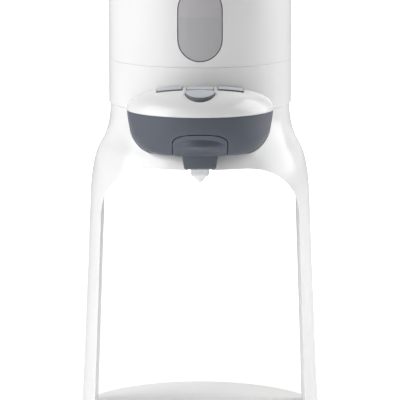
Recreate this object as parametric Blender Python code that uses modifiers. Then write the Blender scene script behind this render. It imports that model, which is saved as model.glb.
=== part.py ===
"""Baby formula maker: a water tank and a flow heater over a powder drawer, on an arched stand.

Metres, +Z up. The origin is at the middle of the underside of the feet, and the front faces -Y.
"""

import math

import bmesh
import bpy
from mathutils import Vector

COLLECTION_NAME = "baby_formula_maker"

# Clearances and overruns
GAP = 0.0003
OVERRUN = 0.004
SCREW_CLEARANCE = 0.0003
PIN_CLEARANCE = 0.0002

# Facets
LARGE_STEPS = 48
MEDIUM_STEPS = 32
ROUND_STEPS = 20
SMALL_STEPS = 12
ARC_STEPS = 4

# Base
BASE_RADIUS = 0.0900
BASE_THICKNESS = 0.0120
BASE_WALL = 0.0030
BASE_EDGE_ROUND = 0.0030
BASE_PLATE_WALL = 0.0020
FOOT_RADIUS = 0.0070
FOOT_HEIGHT = 0.0030
FOOT_STANDOFF = 0.0020
FOOT_RING_INSET = 0.0160
FOOT_COUNT = 4
BALLAST_INSET = 0.0360
BALLAST_WIDTH = 0.0240
BALLAST_THICKNESS = 0.0045

# Stand: a turned bell cut by a tunnel. Heights here and below are above the base's top.
BRIDGE_HEIGHT = 0.0366
STAND_FOOT_INSET = 0.0080
STAND_NECK_INSET = 0.0012
SHELL_WALL = 0.0025
SPIGOT_HEIGHT = 0.0055
SPIGOT_WALL = 0.0023
# Share of the stand's height, then share of its flare from neck to foot
BELL_SHARES = (
    (0.954, 0.038),
    (0.920, 0.105),
    (0.894, 0.203),
    (0.861, 0.385),
    (0.824, 0.515),
    (0.778, 0.604),
    (0.676, 0.679),
    (0.514, 0.745),
    (0.347, 0.825),
    (0.181, 0.896),
)
TUNNEL_CROWN_HEIGHT = 0.1810
TUNNEL_CORNER_HEIGHT = 0.0390
TUNNEL_CORNER_WIDTH = 0.0396
TUNNEL_LEAN = 0.0054
LEG_DEPTH = 0.0100
TUNNEL_CORNER_SQUARENESS = 2.2
TUNNEL_CORNER_STEPS = 7
LINER_WALL = 0.0020
ANCHOR_HEIGHT = 0.0150
ANCHOR_SCREW_OFFSET = 0.0100

# Screws
SCREW_HEAD_RADIUS = 0.0026
SCREW_HEAD_HEIGHT = 0.0016
SCREW_SHAFT_RADIUS = 0.0013
SCREW_LENGTH = 0.0080
BASE_SCREW_INSET = 0.0260
SCREW_POST_WALL = 0.0020

# Housings
BODY_RADIUS = 0.0620
HOUSING_WALL = 0.0025
LOWER_HOUSING_HEIGHT = 0.0300
HOUSING_LIP_WALL = 0.0018
HOUSING_LIP_HEIGHT = 0.0040
TANK_LEDGE_WIDTH = 0.0052
TANK_LEDGE_THICKNESS = 0.0024
DECK_THICKNESS = 0.0025
DECK_SCREW_INSET = 0.0024
DECK_SCREW_ANGLE = math.radians(32)
DECK_BOSS_RADIUS = 0.0034
DECK_BOSS_LENGTH = 0.0110

# Water window
WINDOW_HALF_WIDTH = 0.01485
WINDOW_HEIGHT = 0.0490
WINDOW_SILL = 0.0037
WINDOW_HEAD = 0.0057
LENS_THICKNESS = 0.0020
LENS_INSET = 0.0002

# Top ring and lid
RING_HEIGHT = 0.0090
RING_ROUND = 0.0065
RING_THICKNESS = 0.0060
RING_WIDTH = 0.0160
LID_THICKNESS = 0.0027
LID_CROWN = 0.0017
LID_RECESS_CLEARANCE = 0.0007
RECESS_CHAMFER = 0.0006
LID_LAP = 0.0029
LID_PLUG_CLEARANCE = 0.0026
LID_PLUG_DEPTH = 0.0053
LID_PLUG_WALL = 0.0020
LID_TAB_HALF_WIDTH = 0.0090
LID_TAB_REACH = 0.0035
LID_TAB_THICKNESS = 0.0020
SEAL_THICKNESS = 0.0020
HINGE_OFFSET = 0.0036
HINGE_PIN_RADIUS = 0.0015
HINGE_PIN_HALF_LENGTH = 0.0170
HINGE_BARREL_RADIUS = 0.0027
HINGE_BARREL_HALF_LENGTH = 0.0110
HINGE_SLOT_DEPTH = 0.0045

# Water tank
TANK_INSET = 0.0055
TANK_WALL = 0.0020
TANK_HEAD_ROOM = 0.0050
TANK_OUTLET_OFFSET = 0.0080
GROMMET_NECK_RADIUS = 0.0045
GROMMET_FLANGE_RADIUS = 0.0080
GROMMET_FLANGE_THICKNESS = 0.0015
GROMMET_LENGTH = 0.0075
GROMMET_BORE_RADIUS = 0.0015

# Nose: half an ellipsoid in front of the body
NOSE_SIDE_INSET = 0.0130
NOSE_OVERHANG = 0.0220
NOSE_RISE = 0.0203
NOSE_CENTRE_INSET = 0.0220
NOSE_WALL = 0.0020
NOSE_FLOOR_THICKNESS = 0.0015
BOARD_THICKNESS = 0.0016
BOARD_STANDOFF = 0.0020
SERVICE_HOLE_HALF_WIDTH = 0.0100
SERVICE_HOLE_HEIGHT = 0.0070

# Keys
KEY_TRAVEL = 0.0006
KEY_CLEARANCE = 0.0003
KEY_RISE = 0.0008
KEY_SKIN = 0.0022
START_KEY_RISE = 0.0014
SIDE_KEY_SETBACK = 0.0010
SIDE_KEY_DEPTH = 0.0037
SIDE_KEY_START = 0.0121
SIDE_KEY_END = 0.0283
STRIP_KEY_HALF_WIDTH = 0.0087
STRIP_KEY_SETBACK = 0.0020
STRIP_KEY_DEPTH = 0.0040
START_KEY_HALF_WIDTH = 0.0097
START_KEY_SETBACK = 0.0080
START_KEY_DEPTH = 0.0072
STEM_RADIUS = 0.0010
SWITCH_SIDE = 0.0045
SWITCH_HEIGHT = 0.0035

# Drawer: an oval loft that carries on below the nose
DRAWER_HEIGHT = 0.0263
DRAWER_INSET = 0.0004
# Share of the drawer's height below its top, then shares of its half width and of its reach
# before the nose's centre. Lower down, the widest place moves forward by the chin's reach.
DRAWER_SHARES = (
    (0.00, 1.000, 1.000),
    (0.22, 0.982, 0.990),
    (0.45, 0.957, 0.972),
    (0.60, 0.937, 0.952),
    (0.73, 0.898, 0.930),
    (0.85, 0.836, 0.903),
    (0.94, 0.762, 0.872),
    (1.00, 0.665, 0.838),
)
DRAWER_WALL = 0.0022
DRAWER_MOUTH_CLEARANCE = 0.0005
DRAWER_BACK_OFFSET = 0.0030
DRAWER_TRAVEL_MARGIN = 0.0120
CHIN_REACH = 0.0165
CHIN_POWER = 2.5
TRAY_SIDE_INSET = 0.0083
TRAY_FRONT_INSET = 0.0068
TRAY_LENGTH = 0.0688
TRAY_CORNER_RADIUS = 0.0100
TRAY_DEPTH = 0.0195
TRAY_WALL = 0.0020
RIM_THICKNESS = 0.0015
TRAY_OUTLET_RADIUS = 0.0050
ARM_INSET = 0.0034
ARM_THICKNESS = 0.0020
ARM_DROP = 0.0010
ARM_LAP = 0.0020
ARM_HOLD = 0.0060
GUIDE_CORNER_CLEARANCE = 0.0028
GUIDE_TAIL_INSET = 0.0380
GUIDE_WALL = 0.0025
GUIDE_LIP = 0.0030

# Spout
HANDLE_HALF_WIDTH = 0.0184
HANDLE_TOP_DROP = 0.0113
HANDLE_CORNER_RADIUS = 0.0095
HANDLE_BULGE_RADIUS = 0.0110
HANDLE_BULGE_REACH = 0.0016
BULGE_HEIGHT_SHARE = 0.45
TONGUE_THICKNESS = 0.0040
TONGUE_TAIL = 0.0120
TONGUE_RIB_WIDTH = 0.0026
TAB_TOP_HALF_WIDTH = 0.0120
TAB_BOTTOM_HALF_WIDTH = 0.0106
TAB_LENGTH = 0.0088
TAB_THICKNESS = 0.0030
TAB_SETBACK = 0.0006
TAB_CORNER_RADIUS = 0.0015
SPOUT_TRAVEL = 0.0250
NOTCH_HALF_WIDTH = 0.0080
NOZZLE_RADIUS = 0.0063
NOZZLE_FLANGE_RADIUS = 0.0095
NOZZLE_FLANGE_THICKNESS = 0.0015
NOZZLE_BORE_RADIUS = 0.0045
NOZZLE_TIP_BORE_RADIUS = 0.0009
NOZZLE_LENGTH = 0.0228
NOZZLE_CONE_RADIUS = 0.0034
NOZZLE_CONE_HEIGHT = 0.0030
NOZZLE_LIP_RADIUS = 0.0054
NOZZLE_LIP_HEIGHT = 0.0010

# Works on the deck
HEAD_RADIUS = 0.0080
HEAD_OFFSET = 0.0100
HEAD_RISE = 0.0080
HEAD_DROP = 0.0020
HEAD_BORE_RADIUS = 0.0010
HOSE_RADIUS = 0.0025
HOSE_LEAD = 0.0010
HOSE_SLACK = 0.4
HOSE_STEPS = 8
BARB_RADIUS = 0.0018
BARB_LENGTH = 0.0050
PUMP_RADIUS = 0.0085
PUMP_HALF_LENGTH = 0.0200
PUMP_INSET = 0.0260
PUMP_FOOT_HALF_WIDTH = 0.0050
PUMP_FOOT_HEIGHT = 0.0020
HEATER_INSET = 0.0160
HEATER_WIDTH = 0.0240
HEATER_SETBACK = 0.0120
HEATER_BACK = 0.0240
HEATER_HEIGHT = 0.0140
HEATER_EDGE_ROUND = 0.0020
HEATER_IN_INSET = 0.0060
HEATER_OUT_INSET = 0.0040
SENSOR_RADIUS = 0.0030
SENSOR_HEIGHT = 0.0025
POWER_BOARD_HALF_WIDTH = 0.0200
POWER_BOARD_DEPTH = 0.0160
POWER_BOARD_INSET = 0.0120
POWER_PART_HEIGHT = 0.0100
CAPACITOR_RADIUS = 0.0045
GLAND_RISE = 0.0080
GLAND_RADIUS = 0.0056
GLAND_COLLAR_RADIUS = 0.0080
GLAND_COLLAR_THICKNESS = 0.0025
GLAND_BORE_RADIUS = 0.0034
GLAND_END_WALL = 0.0008
GLAND_REACH = 0.0090

# Sizes and places worked out from the sizes above
FOOT_RING_RADIUS = BASE_RADIUS - FOOT_RING_INSET
BASE_SCREW_RING_RADIUS = BASE_RADIUS - BASE_SCREW_INSET
BALLAST_OUTER_RADIUS = BASE_RADIUS - BALLAST_INSET
BALLAST_INNER_RADIUS = BALLAST_OUTER_RADIUS - BALLAST_WIDTH
STAND_FOOT_RADIUS = BASE_RADIUS - STAND_FOOT_INSET
STAND_NECK_RADIUS = BODY_RADIUS - STAND_NECK_INSET
PARTING_HEIGHT = TUNNEL_CROWN_HEIGHT + BRIDGE_HEIGHT
TUNNEL_SPRING_HEIGHT = TUNNEL_CROWN_HEIGHT - TUNNEL_CORNER_HEIGHT
TUNNEL_FOOT_HALF_WIDTH = STAND_FOOT_RADIUS - LEG_DEPTH
TUNNEL_SPRING_HALF_WIDTH = TUNNEL_FOOT_HALF_WIDTH - TUNNEL_LEAN
TUNNEL_CROWN_HALF_FLAT = TUNNEL_SPRING_HALF_WIDTH - TUNNEL_CORNER_WIDTH
UPPER_HOUSING_HEIGHT = WINDOW_SILL + WINDOW_HEIGHT + WINDOW_HEAD
RING_MOUTH_RADIUS = BODY_RADIUS - RING_WIDTH
LID_RADIUS = RING_MOUTH_RADIUS + LID_LAP
LID_PLUG_RADIUS = RING_MOUTH_RADIUS - LID_PLUG_CLEARANCE
HINGE_SETBACK = LID_RADIUS + HINGE_OFFSET
TANK_RADIUS = BODY_RADIUS - TANK_INSET
NOSE_HALF_WIDTH = BODY_RADIUS - NOSE_SIDE_INSET
NOSE_CENTRE_DEPTH = BODY_RADIUS - NOSE_CENTRE_INSET
NOSE_HALF_DEPTH = NOSE_CENTRE_INSET + NOSE_OVERHANG
FRONT_REACH = NOSE_CENTRE_DEPTH + NOSE_HALF_DEPTH + OVERRUN
SIDE_KEY_INNER_RADIUS = BODY_RADIUS + SIDE_KEY_SETBACK
SIDE_KEY_OUTER_RADIUS = SIDE_KEY_INNER_RADIUS + SIDE_KEY_DEPTH
STRIP_KEY_INNER_RADIUS = BODY_RADIUS + STRIP_KEY_SETBACK
STRIP_KEY_OUTER_RADIUS = STRIP_KEY_INNER_RADIUS + STRIP_KEY_DEPTH
START_KEY_BACK_DEPTH = BODY_RADIUS + START_KEY_SETBACK
START_KEY_FRONT_DEPTH = START_KEY_BACK_DEPTH + START_KEY_DEPTH
DRAWER_TOP_HALF_WIDTH = NOSE_HALF_WIDTH - DRAWER_INSET
DRAWER_TOP_HALF_DEPTH = NOSE_HALF_DEPTH - DRAWER_INSET
DRAWER_BACK_DEPTH = NOSE_CENTRE_DEPTH + DRAWER_BACK_OFFSET
DRAWER_TRAVEL = BODY_RADIUS - DRAWER_TRAVEL_MARGIN
TRAY_HALF_WIDTH = DRAWER_TOP_HALF_WIDTH - TRAY_SIDE_INSET
TRAY_FRONT_HALF_DEPTH = DRAWER_TOP_HALF_DEPTH - TRAY_FRONT_INSET
TRAY_BACK_DEPTH = NOSE_CENTRE_DEPTH + TRAY_FRONT_HALF_DEPTH - TRAY_LENGTH
ARM_OUTER_HALF_WIDTH = DRAWER_TOP_HALF_WIDTH - ARM_INSET
ARM_FRONT_DEPTH = NOSE_CENTRE_DEPTH - ARM_LAP
GUIDE_OUTER_HALF_WIDTH = ARM_OUTER_HALF_WIDTH + GAP + GUIDE_WALL
GUIDE_CORNER_RADIUS = STAND_NECK_RADIUS - SHELL_WALL - GUIDE_CORNER_CLEARANCE
GUIDE_FRONT_DEPTH = math.sqrt(GUIDE_CORNER_RADIUS**2 - GUIDE_OUTER_HALF_WIDTH**2)
GUIDE_TAIL = BODY_RADIUS - GUIDE_TAIL_INSET
SPOUT_DEPTH = NOSE_CENTRE_DEPTH
TAB_FRONT_DEPTH = NOSE_CENTRE_DEPTH + DRAWER_TOP_HALF_DEPTH * DRAWER_SHARES[-1][2] - TAB_SETBACK
HEAD_DEPTH = SPOUT_DEPTH - HEAD_OFFSET
PUMP_OFFSET = BODY_RADIUS - PUMP_INSET
HEATER_HIGH = (BODY_RADIUS - HEATER_INSET, HEATER_BACK)
HEATER_LOW = (HEATER_HIGH[0] - HEATER_WIDTH, HEATER_SETBACK - HEAD_DEPTH)
HEATER_IN_OFFSET = HEATER_HIGH[0] - HEATER_IN_INSET
HEATER_OUT_OFFSET = HEATER_LOW[0] + HEATER_OUT_INSET
POWER_BOARD_BACK = BODY_RADIUS - POWER_BOARD_INSET
POWER_BOARD_FRONT = POWER_BOARD_BACK - POWER_BOARD_DEPTH
BASE_TOP = FOOT_STANDOFF + BASE_THICKNESS
PARTING_Z = BASE_TOP + PARTING_HEIGHT
SPIGOT_OUTER_RADIUS = BODY_RADIUS - HOUSING_WALL - GAP
SPIGOT_INNER_RADIUS = SPIGOT_OUTER_RADIUS - SPIGOT_WALL
DECK_SCREW_RING_RADIUS = SPIGOT_INNER_RADIUS - DECK_SCREW_INSET
SPIGOT_TOP = PARTING_Z + SPIGOT_HEIGHT
DECK_BOTTOM = SPIGOT_TOP + GAP
DECK_TOP = DECK_BOTTOM + DECK_THICKNESS
SEAM_Z = PARTING_Z + LOWER_HOUSING_HEIGHT
TANK_LEDGE_TOP = SEAM_Z - HOUSING_LIP_HEIGHT + TANK_LEDGE_THICKNESS
TANK_BOTTOM = TANK_LEDGE_TOP + GAP
HOUSING_TOP = SEAM_Z + UPPER_HOUSING_HEIGHT
WINDOW_BOTTOM = SEAM_Z + WINDOW_SILL
WINDOW_TOP = WINDOW_BOTTOM + WINDOW_HEIGHT
RING_BOTTOM = HOUSING_TOP + GAP
RING_TOP = RING_BOTTOM + RING_HEIGHT
RING_UNDERSIDE = RING_TOP - RING_THICKNESS
TANK_TOP = HOUSING_TOP - TANK_HEAD_ROOM
LID_SEAT = RING_TOP - LID_THICKNESS
HINGE_Z = RING_TOP - RING_THICKNESS / 2
DRAWER_TOP = PARTING_Z - GAP
DRAWER_BOTTOM = DRAWER_TOP - DRAWER_HEIGHT
DRAWER_FLOOR_TOP = DRAWER_BOTTOM + DRAWER_WALL
TRAY_TOP = DRAWER_TOP - GAP
TRAY_BOTTOM = TRAY_TOP - TRAY_DEPTH
ARM_TAIL = DRAWER_TRAVEL - GUIDE_FRONT_DEPTH + ARM_HOLD
TONGUE_BOTTOM = DRAWER_BOTTOM + GAP
TONGUE_TOP = TONGUE_BOTTOM + TONGUE_THICKNESS
BOARD_TOP = PARTING_Z + NOSE_FLOOR_THICKNESS + BOARD_STANDOFF + BOARD_THICKNESS
SWITCH_TOP = BOARD_TOP + GAP + SWITCH_HEIGHT
BASE_CAVITY_TOP = BASE_TOP - BASE_WALL
BASE_PLATE_TOP = FOOT_STANDOFF + BASE_PLATE_WALL

WHITE = ("white", (0.86, 0.86, 0.87, 1.0), 0.22, 0.0)
SLATE = ("slate", (0.115, 0.135, 0.160, 1.0), 0.38, 0.0)
KEY_GREY = ("key grey", (0.50, 0.53, 0.58, 1.0), 0.35, 0.0)
WINDOW_GREY = ("window grey", (0.36, 0.35, 0.37, 1.0), 0.15, 0.0)
CLEAR = ("clear", (0.80, 0.82, 0.84, 1.0), 0.12, 0.0)
SILICONE = ("silicone", (0.62, 0.63, 0.64, 1.0), 0.55, 0.0)
RUBBER = ("rubber", (0.06, 0.06, 0.065, 1.0), 0.75, 0.0)
STEEL = ("steel", (0.62, 0.62, 0.63, 1.0), 0.32, 1.0)
BOARD_GREEN = ("board green", (0.03, 0.16, 0.08, 1.0), 0.45, 0.0)
BLACK = ("black", (0.035, 0.035, 0.038, 1.0), 0.45, 0.0)


def clear_scene():
    for obj in list(bpy.data.objects):
        bpy.data.objects.remove(obj, do_unlink=True)


def collection(name):
    made = bpy.data.collections.new(name)
    bpy.context.scene.collection.children.link(made)
    return made


def material(name, finish):
    _, colour, roughness, metallic = finish
    made = bpy.data.materials.new(name)
    made.use_nodes = True
    shader = made.node_tree.nodes["Principled BSDF"]
    shader.inputs["Base Color"].default_value = colour
    shader.inputs["Roughness"].default_value = roughness
    shader.inputs["Metallic"].default_value = metallic
    made.diffuse_color = colour
    return made


def add_object(name, mesh, finish=None):
    """A part when it has a finish, and otherwise a cutter, which isn't rendered."""
    obj = bpy.data.objects.new(name, mesh)
    if finish:
        PARTS.objects.link(obj)
        mesh.materials.append(material(name, finish))
    else:
        CUTTERS.objects.link(obj)
        obj.hide_render = True
        obj.display_type = "WIRE"
    return obj


def smooth(obj, angle=math.radians(35)):
    obj.data.shade_smooth()
    obj.data.set_sharp_from_angle(angle=angle)


def mesh_from(bm, name):
    mesh = bpy.data.meshes.new(name)
    bmesh.ops.recalc_face_normals(bm, faces=bm.faces)
    bm.to_mesh(mesh)
    bm.free()
    return mesh


def box(name, low, high, finish=None):
    bm = bmesh.new()
    bmesh.ops.create_cube(bm, size=1.0)
    low, high = Vector(low), Vector(high)
    bmesh.ops.scale(bm, vec=high - low, verts=bm.verts)
    bmesh.ops.translate(bm, vec=(low + high) / 2, verts=bm.verts)
    return add_object(name, mesh_from(bm, name), finish)


def rod(name, start, end, radius, finish=None, steps=SMALL_STEPS, end_radius=None):
    """A cylinder or a cone between two points."""
    start, end = Vector(start), Vector(end)
    along = end - start
    bm = bmesh.new()
    bmesh.ops.create_cone(
        bm,
        cap_ends=True,
        segments=steps,
        radius1=radius,
        radius2=radius if end_radius is None else end_radius,
        depth=along.length,
    )
    turn = Vector((0, 0, 1)).rotation_difference(along).to_matrix()
    bmesh.ops.rotate(bm, matrix=turn, verts=bm.verts)
    bmesh.ops.translate(bm, vec=(start + end) / 2, verts=bm.verts)
    obj = add_object(name, mesh_from(bm, name), finish)
    smooth(obj)
    return obj


def turned(name, profile, finish=None, steps=LARGE_STEPS, closed=True, at=(0, 0, 0)):
    """Turns a profile of (radius, height) points, which runs down its outer side, about Z."""
    bm = bmesh.new()
    points = [bm.verts.new((radius, 0, height)) for radius, height in profile]
    for start, end in zip(points, points[1:]):
        bm.edges.new((start, end))
    if closed:
        bm.edges.new((points[-1], points[0]))
    mesh = bpy.data.meshes.new(name)
    bm.to_mesh(mesh)
    bm.free()
    obj = add_object(name, mesh, finish)
    obj.location = at
    screw = obj.modifiers.new("turn", "SCREW")
    screw.steps = screw.render_steps = steps
    screw.use_merge_vertices = True
    screw.merge_threshold = 0.00001
    screw.use_smooth_shade = False
    return obj


def flat_outline(name, outline, low, high, plane="XY"):
    """A mesh object of a flat outline, thick from low to high along the plane's normal."""
    curve = bpy.data.curves.new(name, "CURVE")
    curve.dimensions = "2D"
    curve.fill_mode = "BOTH"
    curve.extrude = (high - low) / 2
    spline = curve.splines.new("POLY")
    spline.points.add(len(outline) - 1)
    for point, (across, up) in zip(spline.points, outline):
        point.co = (across, up, 0, 1)
    spline.use_cyclic_u = True
    guide = bpy.data.objects.new(name + " guide", curve)
    CUTTERS.objects.link(guide)
    middle = (low + high) / 2
    if plane == "XZ":
        guide.rotation_euler = (math.radians(90), 0, 0)
        guide.location = (0, middle, 0)
    else:
        guide.location = (0, 0, middle)
    bpy.context.view_layer.update()
    graph = bpy.context.evaluated_depsgraph_get()
    mesh = bpy.data.meshes.new_from_object(guide.evaluated_get(graph))
    bm = bmesh.new()
    bm.from_mesh(mesh)
    bmesh.ops.remove_doubles(bm, verts=bm.verts, dist=GAP / 100)
    bmesh.ops.recalc_face_normals(bm, faces=bm.faces)
    bm.to_mesh(mesh)
    bm.free()
    mesh.transform(guide.matrix_world)
    bpy.data.objects.remove(guide, do_unlink=True)
    return mesh


def plate(name, outline, low, high, finish=None, plane="XY"):
    return add_object(name, flat_outline(name, outline, low, high, plane), finish)


def hose(name, stations, finish):
    """A tube that passes each (place, direction) station in the station's direction."""
    curve = bpy.data.curves.new(name, "CURVE")
    curve.dimensions = "3D"
    curve.bevel_depth = HOSE_RADIUS
    curve.bevel_resolution = 2
    curve.use_fill_caps = True
    (first, leaving), (last, arriving) = stations[0], stations[-1]
    inner = [
        (first + leaving * HOSE_LEAD, leaving),
        *stations[1:-1],
        (last - arriving * HOSE_LEAD, arriving),
    ]
    run = [first, inner[0][0]]
    for (start, leaving), (end, arriving) in zip(inner, inner[1:]):
        reach = (end - start).length * HOSE_SLACK
        one = start + leaving * reach
        two = end - arriving * reach
        for step in range(1, HOSE_STEPS + 1):
            t = step / HOSE_STEPS
            s = 1 - t
            run.append(start * s**3 + one * 3 * s**2 * t + two * 3 * s * t**2 + end * t**3)
    run.append(last)
    spline = curve.splines.new("POLY")
    spline.points.add(len(run) - 1)
    for point, place in zip(spline.points, run):
        point.co = (*place, 1)
    obj = bpy.data.objects.new(name, curve)
    curve.materials.append(material(name, finish))
    PARTS.objects.link(obj)
    return obj


def oval(section, start, end, steps):
    """Points of an oval section between two angles in degrees, both ends among them."""
    height, half_width, half_depth, centre_depth = section
    points = []
    for step in range(steps + 1):
        angle = math.radians(start + (end - start) * step / steps)
        across = half_width * math.cos(angle)
        points.append((across, half_depth * math.sin(angle) - centre_depth, height))
    return points


def skin(name, rings, finish=None):
    """A closed solid over rings of points, which are listed from the top down."""
    bm = bmesh.new()
    loops = [[bm.verts.new(point) for point in ring] for ring in rings]
    for upper, lower in zip(loops, loops[1:]):
        for index in range(len(upper)):
            after = (index + 1) % len(upper)
            bm.faces.new((upper[index], lower[index], lower[after], upper[after]))
    bm.faces.new(loops[0])
    bm.faces.new(reversed(loops[-1]))
    return add_object(name, mesh_from(bm, name), finish)


def loft(name, sections, finish=None, steps=LARGE_STEPS):
    """A solid of oval sections: (height, half width, half depth, centre depth), from the top down."""
    return skin(name, [oval(section, 0, 360, steps)[:-1] for section in sections], finish)


def ellipsoid(name, centre, half_sizes, steps=ROUND_STEPS):
    bm = bmesh.new()
    bmesh.ops.create_uvsphere(bm, u_segments=steps, v_segments=steps // 2, radius=1.0)
    bmesh.ops.scale(bm, vec=half_sizes, verts=bm.verts)
    bmesh.ops.translate(bm, vec=centre, verts=bm.verts)
    return add_object(name, mesh_from(bm, name))


def dome(name, half_width, half_depth, rise, finish=None, lift=0.0):
    """Half an ellipsoid that stands on the parting plane in front of the body."""
    bm = bmesh.new()
    bmesh.ops.create_uvsphere(bm, u_segments=LARGE_STEPS, v_segments=ROUND_STEPS, radius=1.0)
    bmesh.ops.scale(bm, vec=(half_width, half_depth, rise), verts=bm.verts)
    bmesh.ops.translate(bm, vec=(0, -NOSE_CENTRE_DEPTH, PARTING_Z + lift), verts=bm.verts)
    return add_object(name, mesh_from(bm, name), finish)


def boolean(obj, other, operation):
    modifier = obj.modifiers.new(operation.lower() + " " + other.name, "BOOLEAN")
    modifier.operation = operation
    modifier.object = other
    modifier.solver = "EXACT"


def cut(obj, *others):
    for other in others:
        boolean(obj, other, "DIFFERENCE")


def join(obj, *others):
    for other in others:
        boolean(obj, other, "UNION")


def keep(obj, other):
    boolean(obj, other, "INTERSECT")


def pivot(name, place, *children):
    """An empty on a joint's axis that carries the moving pieces."""
    empty = bpy.data.objects.new(name, None)
    empty.location = place
    empty.empty_display_size = BODY_RADIUS / 4
    PARTS.objects.link(empty)
    bpy.context.view_layer.update()
    for child in children:
        child.parent = empty
        child.matrix_parent_inverse = empty.matrix_world.inverted()


def arc(centre, radius, start, end, steps=ARC_STEPS):
    """Points on an arc between two angles in degrees."""
    across, up = centre
    points = []
    for step in range(steps + 1):
        angle = math.radians(start + (end - start) * step / steps)
        points.append((across + radius * math.cos(angle), up + radius * math.sin(angle)))
    return points


def mirrored(half):
    """A whole outline from its right half, which runs from the middle line to the middle line."""
    return [*half, *[(-across, up) for across, up in reversed(half) if across > 0]]


def bell_radius(height):
    """The stand's outer radius at a height above the base's top."""
    flare = STAND_FOOT_RADIUS - STAND_NECK_RADIUS
    stations = [(PARTING_HEIGHT, STAND_NECK_RADIUS)]
    for height_share, flare_share in BELL_SHARES:
        stations.append((PARTING_HEIGHT * height_share, STAND_NECK_RADIUS + flare * flare_share))
    stations.append((0, STAND_FOOT_RADIUS))
    for (upper, small), (lower, large) in zip(stations, stations[1:]):
        if height >= lower:
            return small + (large - small) * (upper - height) / (upper - lower)
    return STAND_FOOT_RADIUS


def bell_heights(top, bottom):
    """Heights above the base's top at which the bell's profile has a point, from the top down."""
    between = [PARTING_HEIGHT * share for share, _ in BELL_SHARES]
    return [top, *[height for height in between if bottom < height < top], bottom]


def bell_side(top, bottom, inset):
    """The bell's profile, drawn in by an inset, between two heights."""
    return [
        (bell_radius(height) - inset, BASE_TOP + height) for height in bell_heights(top, bottom)
    ]


def tunnel_outline(offset, floor):
    """The tunnel's right half and left half, grown by an offset and run down to a floor."""
    corner_width = TUNNEL_SPRING_HALF_WIDTH - TUNNEL_CROWN_HALF_FLAT + offset
    corner_height = TUNNEL_CROWN_HEIGHT - TUNNEL_SPRING_HEIGHT + offset
    power = 2 / TUNNEL_CORNER_SQUARENESS
    lean = TUNNEL_LEAN / TUNNEL_SPRING_HEIGHT
    half = []
    for step in range(TUNNEL_CORNER_STEPS + 1):
        angle = math.radians(90) * (1 - step / TUNNEL_CORNER_STEPS)
        across = TUNNEL_CROWN_HALF_FLAT + corner_width * max(math.cos(angle), 0) ** power
        up = TUNNEL_SPRING_HEIGHT + corner_height * math.sin(angle) ** power
        half.append((across, BASE_TOP + up))
    foot = TUNNEL_SPRING_HALF_WIDTH + offset + lean * (TUNNEL_SPRING_HEIGHT - floor)
    half.append((foot, BASE_TOP + floor))
    return mirrored(half)


def drawer_sections(inset, top, bottom):
    """The drawer front's sections, drawn in by an inset, between a top and a bottom."""
    sections = []
    for down_share, width_share, depth_share in DRAWER_SHARES:
        height = top + (bottom - top) * down_share
        half_width = DRAWER_TOP_HALF_WIDTH * width_share - inset
        forward = CHIN_REACH * down_share**CHIN_POWER
        half_depth = DRAWER_TOP_HALF_DEPTH * depth_share - forward - inset
        sections.append((height, half_width, half_depth, NOSE_CENTRE_DEPTH + forward))
    return sections


def drawer_front_depth(height):
    """How far the drawer's front stands before the machine's axis at a height."""
    down = (DRAWER_TOP - height) / DRAWER_HEIGHT
    for (above, _, upper), (below, _, lower) in zip(DRAWER_SHARES, DRAWER_SHARES[1:]):
        if down <= below:
            share = upper + (lower - upper) * (down - above) / (below - above)
            return NOSE_CENTRE_DEPTH + DRAWER_TOP_HALF_DEPTH * share
    return NOSE_CENTRE_DEPTH + DRAWER_TOP_HALF_DEPTH * lower


def screw(name, place, finish=STEEL, length=SCREW_LENGTH):
    """A screw that points up, with the underside of its head at the place."""
    profile = [
        (0, length),
        (SCREW_SHAFT_RADIUS, length),
        (SCREW_SHAFT_RADIUS, 0),
        (SCREW_HEAD_RADIUS, 0),
        (SCREW_HEAD_RADIUS, -SCREW_HEAD_HEIGHT),
        (0, -SCREW_HEAD_HEIGHT),
    ]
    return turned(name, profile, finish, SMALL_STEPS, closed=False, at=place)


def around(count, radius, start_degrees):
    """Places on a ring about the middle."""
    places = []
    for index in range(count):
        angle = math.radians(start_degrees + 360 * index / count)
        places.append((radius * math.cos(angle), radius * math.sin(angle)))
    return places


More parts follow.
